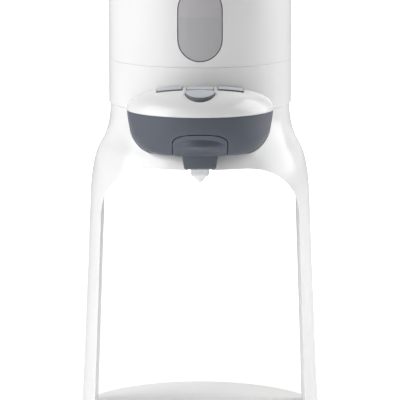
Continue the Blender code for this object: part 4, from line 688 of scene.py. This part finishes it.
def make_stand():
    """The bell-shaped shell: two legs below the tunnel's crown and a closed ring above it."""
    legs = tunnel_side()
    crown_z = legs[-1][1]
    top = PARTING_Z - FINE_GAP
    ring_heights = list(np.linspace(crown_z, top, 40))[1:]
    leg_columns, bridge_columns = 40, 44
    points = []
    faces = []

    def arc_row(radius, half_width, height):
        half_angle = math.acos(min(half_width / radius, 1))
        row = []
        for middle in (0.0, math.pi):
            side = []
            for column in range(leg_columns + 1):
                angle = middle + half_angle * (2 * column / leg_columns - 1)
                side.append((radius * math.cos(angle), radius * math.sin(angle), height))
            row.append(side)
        return row

    def ring_row(radius, height):
        (right, left) = arc_row(radius, CROWN_HALF_FLAT, height)
        half_angle = math.acos(CROWN_HALF_FLAT / radius)
        bridges = []
        for middle in (math.pi / 2, math.pi * 3 / 2):
            reach = math.pi / 2 - half_angle
            bridges.append(
                [
                    (
                        radius * math.cos(middle + reach * (2 * column / bridge_columns - 1)),
                        radius * math.sin(middle + reach * (2 * column / bridge_columns - 1)),
                        height,
                    )
                    for column in range(1, bridge_columns)
                ]
            )
        return [*right, *bridges[0], *left, *bridges[1]]

    leg_width = leg_columns + 1
    for side in (0, 1):
        skins = []
        for inset in (0, SHELL_WALL):
            start = len(points)
            for half_width, height in legs:
                radius = float(bell_radius(height)) - inset
                points.extend(arc_row(radius, half_width, height)[side])
            faces.extend(grid_faces(len(legs), leg_width, first=start))
            skins.append(start)
        outer, inner = skins
        for row in range(len(legs) - 1):
            for edge in (0, leg_width - 1):
                a = row * leg_width + edge
                b = a + leg_width
                faces.append((outer + a, outer + b, inner + b, inner + a))
        for column in range(leg_width - 1):
            faces.append((outer + column, outer + column + 1, inner + column + 1, inner + column))
    ring_count = len(ring_row(NECK_RADIUS, crown_z))
    skins = []
    for inset, spigot in ((0, SPIGOT_RADIUS), (SHELL_WALL, SPIGOT_RADIUS - SPIGOT_WALL)):
        start = len(points)
        rows = [(float(bell_radius(height)) - inset, height) for height in (crown_z, *ring_heights)]
        if inset:
            rows = [row for row in rows if row[0] > spigot or row[1] < crown_z + INNER_NECK_RUN]
        rows += [(spigot, rows[-1][1]), (spigot, PARTING_Z + SPIGOT_HEIGHT)]
        for radius, height in rows:
            points.extend(ring_row(radius, height))
        faces.extend(grid_faces(len(rows), ring_count, around=True, first=start))
        skins.append((start, start + (len(rows) - 1) * ring_count))
    (outer, outer_top), (inner, inner_top) = skins
    for column in range(ring_count):
        after = (column + 1) % ring_count
        faces.append((outer_top + column, outer_top + after, inner_top + after, inner_top + column))
    front = range(leg_width, leg_width + bridge_columns - 1)
    back = range(2 * leg_width + bridge_columns - 1, ring_count)
    for bridge in (front, back):
        spans = [bridge.start - 1, *bridge, bridge.stop]
        for first, second in zip(spans, spans[1:]):
            second %= ring_count
            faces.append((outer + first, outer + second, inner + second, inner + first))
    mesh = mesh_of("stand_bell", points, faces)
    stand = piece("stand_bell", mesh, GLOSS_WHITE, STILL, "stand_shell", sharp=50)
    edge = stand.modifiers.new("rounded edges", "BEVEL")
    edge.width = STAND_EDGE
    edge.segments = 3
    edge.limit_method = "ANGLE"
    edge.angle_limit = math.radians(50)
    graph = bpy.context.evaluated_depsgraph_get()
    graph.update()
    stand.data = bpy.data.meshes.new_from_object(stand.evaluated_get(graph))
    stand.modifiers.clear()
    notch = notch_cutter(crown_z - NOTCH_DROP, DRAWER_BOTTOM + NOTCH_LAP)
    carve(stand, [("DIFFERENCE", cutter(mouth_form(PART_LINE))), ("DIFFERENCE", notch)])


def notch_cutter(low, high):
    """Room for the nozzle and its way forward, from the front to just behind its place."""
    outline = [(-NOTCH_HALF_WIDTH, low), (NOTCH_HALF_WIDTH, low)]
    outline += [(NOTCH_HALF_WIDTH, high), (-NOTCH_HALF_WIDTH, high)]
    return prism("spout notch", outline, -FRONT_REACH, NOSE_CENTRE.y + NOZZLE_ROOM)


def make_lining():
    """The tunnel's inner wall: a band that runs over both legs and under the bridge."""
    side = tunnel_side()
    inner = [*side, *[(-across, height) for across, height in reversed(side)]]
    count = len(inner)
    rows = []
    for index, (across, height) in enumerate(inner):
        ahead = Vector(inner[min(index + 1, count - 1)])
        behind = Vector(inner[max(index - 1, 0)])
        run = (ahead - behind).normalized()
        outward = Vector((run.y, -run.x)) * LINER_WALL
        radius = float(bell_radius(height)) - SHELL_WALL - FINE_GAP
        depth = math.sqrt(radius**2 - across**2)
        near = [(across, y, height) for y in np.linspace(-depth, depth, 9)]
        outside = (across + outward.x, height + outward.y)
        depth = math.sqrt(max(radius**2 - outside[0] ** 2, 1e-8))
        far = [(outside[0], y, outside[1]) for y in np.linspace(depth, -depth, 9)]
        rows.append([*near, *far])
    points = [point for row in rows for point in row]
    faces = grid_faces(len(rows), len(rows[0]), around=True)
    faces.append(tuple(range(len(rows[0]))))
    faces.append(tuple(range(len(points) - len(rows[0]), len(points))))
    mesh = mesh_of("arch_lining", points, faces)
    lining = piece("arch_lining", mesh, LINING_WHITE, STILL, "arch_liner")
    crown_z = side[-1][1]
    notch = notch_cutter(crown_z - NOTCH_DROP, crown_z + LINING_NOTCH_RISE)
    carve(lining, [("DIFFERENCE", notch)])


def drawer_stations(grow=0.0, count=40):
    """The drawer's sections: height, half width, half depth and centre, from the top down."""
    shares = np.linspace(0, 1, count)
    widths = smooth_through([(down, width) for down, width, _ in DRAWER_SHARES], shares)
    depths = smooth_through([(down, depth) for down, _, depth in DRAWER_SHARES], shares)
    height = DRAWER_TOP - DRAWER_BOTTOM
    stations = []
    for down, width, depth in zip(shares, widths, depths):
        z = DRAWER_TOP + grow - (height + 2 * grow) * down
        forward = CHIN_REACH * down**CHIN_POWER
        half_depth = DRAWER_HALF_DEPTH * depth - forward + grow
        stations.append((z, DRAWER_HALF_WIDTH * width + grow, half_depth, NOSE_CENTRE.y - forward))
    return stations


def mouth_form(grow):
    """The drawer's room in the stand: its sections, run straight out to the front."""
    points = []
    columns = 81
    for z, half_width, half_depth, centre in drawer_stations(grow):
        for angle in np.linspace(0, math.pi, columns):
            points.append((half_width * math.cos(angle), centre + half_depth * math.sin(angle), z))
        points.extend([(-half_width, -FRONT_REACH, z), (half_width, -FRONT_REACH, z)])
    count = columns + 2
    faces = grid_faces(len(points) // count, count, around=True)
    faces.append(tuple(range(count)))
    faces.append(tuple(range(len(points) - count, len(points))))
    return mesh_of("drawer mouth", points, faces)


def oval_form(name, stations, turn, columns=160):
    """A closed form of oval sections, over part of a turn in degrees."""
    start, end = (math.radians(angle) for angle in turn)
    whole = turn[1] - turn[0] == 360
    points = []
    for z, half_width, half_depth, centre in stations:
        for column in range(columns):
            share = column / (columns if whole else columns - 1)
            angle = start + (end - start) * share
            points.append(
                (half_width * math.cos(angle), centre + half_depth * math.sin(angle), z)
            )
    faces = grid_faces(len(stations), columns, around=whole)
    faces.append(tuple(range(columns)))
    faces.append(tuple(range(len(points) - columns, len(points))))
    if not whole:
        rim = [row * columns for row in range(len(stations))]
        rim += [row * columns + columns - 1 for row in reversed(range(len(stations)))]
        faces.append(tuple(rim))
    return mesh_of(name, points, faces)


def obround(half_width, low, high, steps=40):
    """A window's outline: two half circles joined by straight sides."""
    points = []
    for middle, start in ((high - half_width, 0), (low + half_width, 180)):
        for step in range(steps + 1):
            angle = math.radians(start + 180 * step / steps)
            points.append((half_width * math.cos(angle), middle + half_width * math.sin(angle)))
    return points


def make_base():
    """The pale base disc and its four rubber feet."""
    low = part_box("base_disc")[0].z
    profile = rounded(
        [
            (0, BASE_TOP, 0),
            (BASE_RADIUS, BASE_TOP, BASE_TOP_ROUND),
            (BASE_RADIUS, low, EDGE_ROUND),
            (BASE_RADIUS - BASE_WALL, low, 0),
            (BASE_RADIUS - BASE_WALL, BASE_TOP - BASE_WALL, 0),
            (0, BASE_TOP - BASE_WALL, 0),
        ]
    )
    piece("base_form", lathe("base_form", profile), BASE_WHITE, STILL, "base_disc")
    for number in range(1, 5):
        node = f"foot_{number}"
        low_corner, high_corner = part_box(node)
        centre = (low_corner + high_corner) / 2
        radius = (high_corner.x - low_corner.x) / 2
        bottom = low_corner.z
        profile = rounded(
            [
                (0, bottom, 0),
                (radius * FOOT_FLAT_SHARE, bottom, EDGE_BREAK),
                (radius * FOOT_EDGE_SHARE, bottom + FOOT_DISH, EDGE_BREAK),
                (radius, bottom + FOOT_DISH, EDGE_SOFT),
                (radius, high_corner.z, FOOT_TOP_EDGE),
                (0, high_corner.z, 0),
            ]
        )
        mesh = lathe(f"rubber_{node}", profile, steps=48, centre=(centre.x, centre.y))
        piece(f"rubber_{node}", mesh, RUBBER, STILL, node)


def make_housings():
    """The two turned housings, with a fine seam between them, and the window's pane."""
    inner = BODY_RADIUS - HOUSING_WALL
    seam = SEAM_Z + FINE_GAP
    lower = rounded(
        [
            (inner, seam - SEAM_LAP, 0),
            (BODY_RADIUS, seam - SEAM_LAP, EDGE_BREAK),
            (BODY_RADIUS, PARTING_Z, EDGE_SOFT),
            (inner, PARTING_Z, 0),
            (inner, seam - SEAM_LAP, 0),
        ]
    )
    mesh = lathe("lower_casing", lower)
    piece("lower_casing", mesh, GLOSS_WHITE, STILL, "lower_housing")
    lip = inner - FINE_GAP
    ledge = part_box("upper_housing")[0].z
    upper = rounded(
        [
            (lip - LIP_WALL, HOUSING_TOP, 0),
            (BODY_RADIUS, HOUSING_TOP, EDGE_BREAK),
            (BODY_RADIUS, seam, EDGE_BREAK),
            (lip, seam, 0),
            (lip, ledge, 0),
            (lip - LEDGE_REACH, ledge, 0),
            (lip - LEDGE_REACH, ledge + LEDGE_THICKNESS, 0),
            (lip - LIP_WALL, ledge + LEDGE_THICKNESS, 0),
            (lip - LIP_WALL, HOUSING_TOP, 0),
        ]
    )
    mesh = lathe("upper_casing", upper)
    casing = piece("upper_casing", mesh, GLOSS_WHITE, STILL, "upper_housing")
    window = obround(WINDOW_HALF_WIDTH, WINDOW_LOW, WINDOW_HIGH)
    opening = prism("window opening", window, *WINDOW_CUT)
    carve(casing, [("DIFFERENCE", opening)], round_edge=EDGE_BREAK)
    outer = BODY_RADIUS - PANE_SETBACK
    inner = outer - PANE_WALL
    top, bottom = WINDOW_HIGH + PANE_LAP, WINDOW_LOW - PANE_LAP
    band = [(inner, top), (outer, top), (outer, bottom), (inner, bottom)]
    mesh = lathe("window_pane", band, closed=True)
    pane = piece("window_pane", mesh, WINDOW, STILL, "window_lens")
    inset = WINDOW_RIM
    sight = obround(WINDOW_HALF_WIDTH - inset, WINDOW_LOW + inset, WINDOW_HIGH - inset)
    outline = prism("pane outline", sight, *WINDOW_CUT)
    carve(pane, [("INTERSECT", outline)], round_edge=EDGE_FINE)


def make_top():
    """The ring that closes the housing, and its hinged lid."""
    ring_low, ring_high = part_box("top_ring")
    top = ring_high.z
    bottom = HOUSING_TOP + FINE_GAP
    recess = LID_RADIUS + RECESS_GAP
    lip = BODY_RADIUS - HOUSING_WALL - FINE_GAP
    underside = top - RING_CEILING
    seat = top - LID_EDGE - FINE_GAP
    profile = rounded(
        [
            (recess, seat, 0),
            (recess, top, RECESS_GAP),
            (BODY_RADIUS, top, RING_ROUND),
            (BODY_RADIUS, bottom, EDGE_BREAK),
            (lip, bottom, 0),
            (lip, ring_low.z, 0),
            (lip - LIP_WALL, ring_low.z, 0),
            (lip - LIP_WALL, underside, 0),
            (MOUTH_RADIUS, underside, EDGE_FINE),
            (MOUTH_RADIUS, seat, EDGE_FINE),
            (recess, seat, 0),
        ],
        steps=12,
    )
    ring = piece("fill_ring", lathe("fill_ring", profile), GLOSS_WHITE, STILL, "top_ring")
    half = BARREL_HALF + FINE_GAP
    slot = [(-half, MOUTH_RADIUS - CUT_MARGIN), (half, MOUTH_RADIUS - CUT_MARGIN)]
    slot += [(half, HINGE_Y + HINGE_SLOT_REACH), (-half, HINGE_Y + HINGE_SLOT_REACH)]
    room = prism("hinge slot", slot, underside - CUT_MARGIN, top + CUT_MARGIN, "XY")
    carve(ring, [("DIFFERENCE", room)])
    make_lid(top)


def make_lid(top):
    """The lid with its plug, grip tab and hinge barrel, and the gasket round the plug."""
    seat = top - LID_EDGE
    plug = MOUTH_RADIUS - PLUG_CLEARANCE
    dome = []
    for share in np.linspace(0, LID_DOME_SHARE, 24):
        dome.append((LID_RADIUS * share, top + LID_RISE - LID_RISE * share**2, 0))
    lid_profile = rounded(
        [
            *dome,
            (LID_RADIUS, top - LID_BROW, EDGE_SOFT),
            (LID_RADIUS, seat, EDGE_FINE),
            (plug, seat, 0),
            (plug, seat - PLUG_DEPTH, PLUG_ROUND),
            (plug - PLUG_WALL, seat - PLUG_DEPTH, PLUG_ROUND),
            (plug - PLUG_WALL, seat, EDGE_ROUND),
            (0, seat, 0),
        ]
    )
    lid = piece("lid_cap", lathe("lid_cap", lid_profile), GLOSS_WHITE, LID, "lid")
    lid_low, lid_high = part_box("lid")
    arm = [(-BARREL_HALF, MOUTH_RADIUS), (BARREL_HALF, MOUTH_RADIUS)]
    arm += [(BARREL_HALF, HINGE_Y), (-BARREL_HALF, HINGE_Y)]
    back = -LID_RADIUS + LID_TAB_LAP
    half = LID_TAB_HALF
    tab = rounded_box_outline(half, lid_low.y, back, LID_TAB_CORNER)
    root = [(-half, -LID_TAB_ROOT), (half, -LID_TAB_ROOT), (half, back), (-half, back)]
    root_top = lid_high.z - LID_TAB_STEP
    axis = (0, HINGE_Y, HINGE_Z)
    steps = [
        ("UNION", prism("lid arm", arm, seat, top, "XY")),
        ("UNION", rod_cutter("lid barrel", BARREL_HALF, BARREL_RADIUS, axis)),
        ("UNION", prism("tab root", root, seat + FINE_GAP, root_top, "XY")),
        ("UNION", prism("lid tab", tab, top + FINE_GAP, lid_high.z, "XY")),
        ("DIFFERENCE", rod_cutter("hinge bore", BARREL_HALF * 2, PIN_BORE_RADIUS, axis)),
    ]
    carve(lid, steps, round_edge=EDGE_BREAK)
    seal_low, seal_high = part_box("lid_seal")
    bead = rounded(
        [
            (plug + FINE_GAP, seal_low.z, 0),
            (MOUTH_RADIUS - FINE_GAP, seal_low.z, EDGE_SOFT),
            (MOUTH_RADIUS - FINE_GAP, seal_high.z, EDGE_SOFT),
            (plug + FINE_GAP, seal_high.z, 0),
            (plug + FINE_GAP, seal_low.z, 0),
        ]
    )
    piece("lid_gasket", lathe("lid_gasket", bead), SILICONE, LID, "lid_seal")


def rounded_box_outline(half_width, low, high, radius, steps=8):
    """A plan outline with two round corners at its low end."""
    points = [(half_width, high), (-half_width, high)]
    for middle, start in ((radius - half_width, 180), (half_width - radius, 270)):
        for step in range(steps + 1):
            angle = math.radians(start + 90 * step / steps)
            up = low + radius + radius * math.sin(angle)
            points.append((middle + radius * math.cos(angle), up))
    return points


def rod_cutter(name, half_length, radius, centre, steps=48):
    """A round bar along X, as a tool for carving."""
    points = []
    for x in (-half_length, half_length):
        for step in range(steps):
            angle = math.tau * step / steps
            y = centre[1] + radius * math.cos(angle)
            points.append((centre[0] + x, y, centre[2] + radius * math.sin(angle)))
    faces = grid_faces(2, steps, around=True)
    faces.append(tuple(range(steps)))
    faces.append(tuple(range(steps, 2 * steps)))
    return cutter(mesh_of(name, points, faces))


def dome_mesh(name, lift=0.0, rows=56):
    """The nose's half ellipsoid, raised by a lift, down to the parting plane."""
    stations = []
    for step in range(rows):
        angle = math.radians(89.6) * step / (rows - 1)
        z = PARTING_Z + lift + NOSE_SIZE.z * math.sin(angle)
        half_width, half_depth = (side * math.cos(angle) for side in NOSE_SIZE.xy)
        stations.append((z, half_width, half_depth, NOSE_CENTRE.y))
    return oval_form(name, stations, (0, 360), columns=AROUND)


def sector(inner, outer, start, end, grow=0.0, steps=24):
    """A key's plan outline between two radii about the body's axis and two places across."""
    points = []
    places = np.linspace(start - grow, end + grow, steps)
    for radius, run in ((outer + grow, places), (inner - grow, places[::-1])):
        points.extend((x, -math.sqrt(radius**2 - x**2)) for x in run)
    return points


def crescent(grow=0.0, front=0.0, steps=48):
    """The start key's plan outline: half an oval with its straight side to the back."""
    points = []
    for step in range(steps + 1):
        angle = math.pi * (1 + step / steps)
        points.append(
            (
                (START_HALF + grow) * math.cos(angle),
                START_BACK + grow + (START_DEPTH + 2 * grow + front) * math.sin(angle),
            )
        )
    return points


def make_nose():
    """The control nose with a well for each key, and the four keys, each over a dark sheet whose
    rim shows as painted shade round the key.
    """
    nose = piece("nose_casing", dome_mesh("nose_casing"), GLOSS_WHITE, STILL, "control_nose")
    room = BODY_RADIUS + NOSE_TRIM
    high, low = PARTING_Z + BODY_ROOM_REACH, PARTING_Z - BODY_ROOM_REACH
    body = cutter(lathe("body room", [(0, high), (room, high), (room, low), (0, low)]))
    steps = [("DIFFERENCE", body)]
    side = (SIDE_KEY_RADIUS, SIDE_KEY_RADIUS + SIDE_KEY_DEPTH)
    strip = (STRIP_RADIUS, STRIP_RADIUS + STRIP_DEPTH)
    plans = {
        "key_left": lambda grow: sector(*side, -SIDE_KEY_END, -SIDE_KEY_START, grow),
        "key_right": lambda grow: sector(*side, SIDE_KEY_START, SIDE_KEY_END, grow),
        "key_select": lambda grow: sector(*strip, -STRIP_HALF, STRIP_HALF, grow),
        "key_start": lambda grow: crescent(grow, FRONT_GAP_SHARE * grow),
    }
    low, high = PARTING_Z + WELL_FLOOR, PARTING_Z + WELL_TOP
    for node, plan in plans.items():
        steps.append(("DIFFERENCE", prism(node + " well", plan(KEY_GAP), low, high, "XY")))
    carve(nose, steps)
    low += KEY_LIFT
    for node, plan in plans.items():
        body = node[len("key_"):] + "_key"
        rise = START_RISE if node == "key_start" else KEY_RISE
        cap = piece(node + "_cap", dome_mesh(node + "_cap", rise), KEY_GREY, body, node)
        shape = prism(node + " outline", plan(0), low, high, "XY")
        carve(cap, [("INTERSECT", shape)], round_edge=EDGE_BREAK)
        # A dark sheet just under each cap and a little wider than it, which paints the shade in the
        # gap round the key
        mesh = dome_mesh(node + "_skirt", rise - SHADE_SKIRT_DROP)
        shade_skirt = piece(node + "_skirt", mesh, KEY_SHADE_SKIRT, body)
        shape = prism(node + " shade skirt outline", plan(SHADE_SKIRT_GROW), low, high, "XY")
        carve(shade_skirt, [("INTERSECT", shape)])


def handle_outline(grow=0.0, steps=48):
    """The spout handle from the front: a full arch, open at the drawer's underside."""
    half_width = HANDLE_HALF_WIDTH - FINE_GAP + grow
    arch = HANDLE_ARCH + grow
    spring = DRAWER_TOP - HANDLE_TOP_DROP - HANDLE_ARCH
    half = [(half_width, DRAWER_BOTTOM - HANDLE_RUN)]
    for step in range(steps + 1):
        angle = math.radians(90) * step / steps
        across = half_width * max(math.cos(angle), 0) ** ARCH_POWER
        half.append((across, spring + arch * math.sin(angle) ** ARCH_POWER))
    return [*half, *[(-across, height) for across, height in reversed(half[:-1])]]


def make_drawer():
    """The slate drawer front and, in its middle, the spout's handle with its thumb swell."""
    hollow = [
        (z + HOLLOW_RISE if index == 0 else z, width - DRAWER_WALL, depth - DRAWER_WALL, centre)
        for index, (z, width, depth, centre) in enumerate(drawer_stations())
        if z > DRAWER_BOTTOM + DRAWER_WALL
    ]
    mesh = oval_form("drawer_face", drawer_stations(), (184, 356), 260)
    front = piece("drawer_face", mesh, SLATE, DRAWER, "drawer_front")
    room = cutter(oval_form("drawer hollow", hollow, (0, 360)))
    shape = prism("handle room", handle_outline(PART_LINE / 2), *FACE_CUT)
    carve(front, [("DIFFERENCE", room), ("DIFFERENCE", shape)], round_edge=EDGE_BREAK)
    mesh = oval_form("spout_face", drawer_stations(count=80), (240, 300), 150)
    for vertex in mesh.vertices:
        across = vertex.co.x / THUMB_HALF_WIDTH
        up = (vertex.co.z - THUMB_Z) / THUMB_HALF_HEIGHT
        swell = max(0.0, 1 - across**2 - up**2)
        vertex.co.y -= THUMB_REACH * swell**THUMB_POWER
    handle = piece("spout_face", mesh, SLATE, SPOUT, "spout_handle")
    room = cutter(oval_form("spout hollow", hollow, (0, 360)))
    shape = prism("handle shape", handle_outline(-PART_LINE / 2), *FACE_CUT)
    carve(handle, [("DIFFERENCE", room), ("INTERSECT", shape)], round_edge=HANDLE_EDGE)
    make_tab()
    make_tongue()


def make_tab():
    """The tab that hangs from the handle, with round lower corners and a soft front edge."""
    low = DRAWER_BOTTOM - TAB_LENGTH
    middle = low + TAB_CORNER
    tab = [(TAB_TOP_HALF_WIDTH, DRAWER_BOTTOM + TAB_LAP), (TAB_LOW_HALF_WIDTH, middle)]
    for step in range(1, 13):
        angle = math.radians(90) * step / 12
        across = TAB_LOW_HALF_WIDTH - TAB_CORNER + TAB_CORNER * math.cos(angle)
        tab.append((across, middle - TAB_CORNER * math.sin(angle)))
    tab = [*tab, *[(-x, z) for x, z in reversed(tab)]]
    front = NOSE_CENTRE.y - DRAWER_HALF_DEPTH * DRAWER_SHARES[-1][2] + TAB_SETBACK
    rows = []
    for depth, inset in TAB_LAYERS:
        shrink = 1 - inset / TAB_TOP_HALF_WIDTH
        for x, z in tab:
            lift = inset if z < DRAWER_BOTTOM - TAB_SIDE_RUN else 0
            rows.append((x * shrink, front + depth, z + lift))
    faces = grid_faces(len(TAB_LAYERS), len(tab), around=True)
    faces.append(tuple(range(len(tab))))
    faces.append(tuple(range(3 * len(tab), 4 * len(tab))))
    piece("spout_tab", mesh_of("spout_tab", rows, faces), SLATE, SPOUT, sharp=50)


def make_tongue():
    """The flat shelf behind the handle that holds the nozzle."""
    half = TONGUE_HALF_WIDTH
    plan = [(-half, TONGUE_FRONT), (half, TONGUE_FRONT), (half, TONGUE_BACK), (-half, TONGUE_BACK)]
    low, high = DRAWER_BOTTOM + FINE_GAP, DRAWER_BOTTOM + TONGUE_TOP
    form = prism("spout_tongue", plan, low, high, "XY")
    mesh = form.data
    bpy.data.objects.remove(form, do_unlink=True)
    shelf = piece("spout_tongue", mesh, SLATE, SPOUT, sharp=30)
    high, low = DRAWER_BOTTOM + BORE_REACH, DRAWER_BOTTOM - BORE_REACH
    bore = [(0, high), (NOZZLE_ROOM, high), (NOZZLE_ROOM, low), (0, low)]
    hole = cutter(lathe("nozzle hole", bore, centre=(0, NOSE_CENTRE.y)))
    carve(shelf, [("DIFFERENCE", hole)], round_edge=EDGE_FINE)


def make_nozzle():
    """The frosted cone that the milk powder falls through."""
    low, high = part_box("spout_nozzle")
    tip = low.z
    profile = rounded(
        [
            (NOZZLE_BORE, high.z, 0),
            (NOZZLE_OUTER, high.z, EDGE_FINE),
            (NOZZLE_OUTER, tip + COLLAR_Z, EDGE_ROUND),
            (NOZZLE_LIP, tip + LIP_Z, EDGE_SOFT),
            (NOZZLE_SHOULDER, tip + SHOULDER_Z, EDGE_SOFT),
            (NOZZLE_TIP, tip, EDGE_FINE),
            (NOZZLE_TIP_BORE, tip, 0),
            (NOZZLE_TIP_BORE, tip + TIP_BORE_Z, EDGE_ROUND),
            (NOZZLE_BORE, tip + BORE_Z, EDGE_ROUND),
            (NOZZLE_BORE, high.z, 0),
        ]
    )
    mesh = lathe("nozzle_cone", profile, steps=96, centre=(0, NOSE_CENTRE.y))
    piece("nozzle_cone", mesh, NOZZLE, SPOUT, "spout_nozzle")


def aim(obj, target):
    direction = Vector(target) - obj.location
    obj.rotation_euler = direction.to_track_quat("-Z", "Y").to_euler()


def light_scene():
    """Two large soft boxes, a low card in front, and a white surround that fills the shadows."""
    for name, place, size, power in LAMPS:
        lamp = bpy.data.lights.new(name, "AREA")
        lamp.shape = "RECTANGLE"
        lamp.size, lamp.size_y = size
        lamp.energy = power
        obj = bpy.data.objects.new(name, lamp)
        obj.location = place
        scene.collection.objects.link(obj)
        aim(obj, LAMP_TARGET)
    world = bpy.data.worlds.new("white surround")
    world.use_nodes = True
    scene.world = world
    tree = world.node_tree
    rays = tree.nodes.new("ShaderNodeLightPath")
    seen = Value(rays.outputs["Is Camera Ray"])
    seen = seen.most(Value(rays.outputs["Is Transmission Ray"]))
    direction = tree.nodes.new("ShaderNodeTexCoord")
    split = tree.nodes.new("ShaderNodeSeparateXYZ")
    tree.links.new(direction.outputs["Generated"], split.inputs[0])
    fill = Value(split.outputs["Y"]).most(0.0) * BACK_FILL + FILL
    strength = seen + (1 - seen) * fill
    tree.links.new(strength.socket, tree.nodes["Background"].inputs["Strength"])
    tree.nodes["Background"].inputs["Color"].default_value = (1, 1, 1, 1)


def make_floor():
    """The white ground below the machine, which the camera sees as pure white further out."""
    mesh = bpy.data.meshes.new("floor")
    reach = FLOOR_REACH
    corners = [(-reach, -reach, 0), (reach, -reach, 0), (reach, reach, 0), (-reach, reach, 0)]
    mesh.from_pydata(corners, [], [(0, 1, 2, 3)])
    floor = bpy.data.objects.new("floor", mesh)
    scene.collection.objects.link(floor)
    finish = Finish("pale_floor", (0.86, 0.86, 0.86), Roughness=0.8, Emission_Strength=1.0)
    rays = finish.node("ShaderNodeLightPath", output="Is Camera Ray")
    length = {"operation": "LENGTH"}
    away = finish.node("ShaderNodeVectorMath", length, {0: finish.place}, output="Value")
    grey = rays * (away * GLOW_PER_METRE + GLOW)
    glow = finish.node("ShaderNodeCombineColor", values={part: grey for part in range(3)})
    finish.set(Emission_Color=glow)
    mesh.materials.append(finish.material)


def make_camera():
    lens = bpy.data.cameras.new("photograph")
    lens.lens = FOCAL_LENGTH
    lens.sensor_width = SENSOR_WIDTH
    lens.clip_start = NEAR_CLIP
    lens.clip_end = FAR_CLIP
    camera = bpy.data.objects.new("photograph", lens)
    camera.location = (0, -CAMERA_DISTANCE, CAMERA_HEIGHT)
    camera.rotation_euler = (math.radians(90) - CAMERA_TILT, 0, 0)
    scene.collection.objects.link(camera)
    scene.camera = camera


scene.view_settings.view_transform = "Standard"
dress_nodes()
light_scene()
make_floor()
make_camera()
make_base()
make_stand()
make_lining()
make_housings()
make_top()
make_nose()
make_drawer()
make_nozzle()
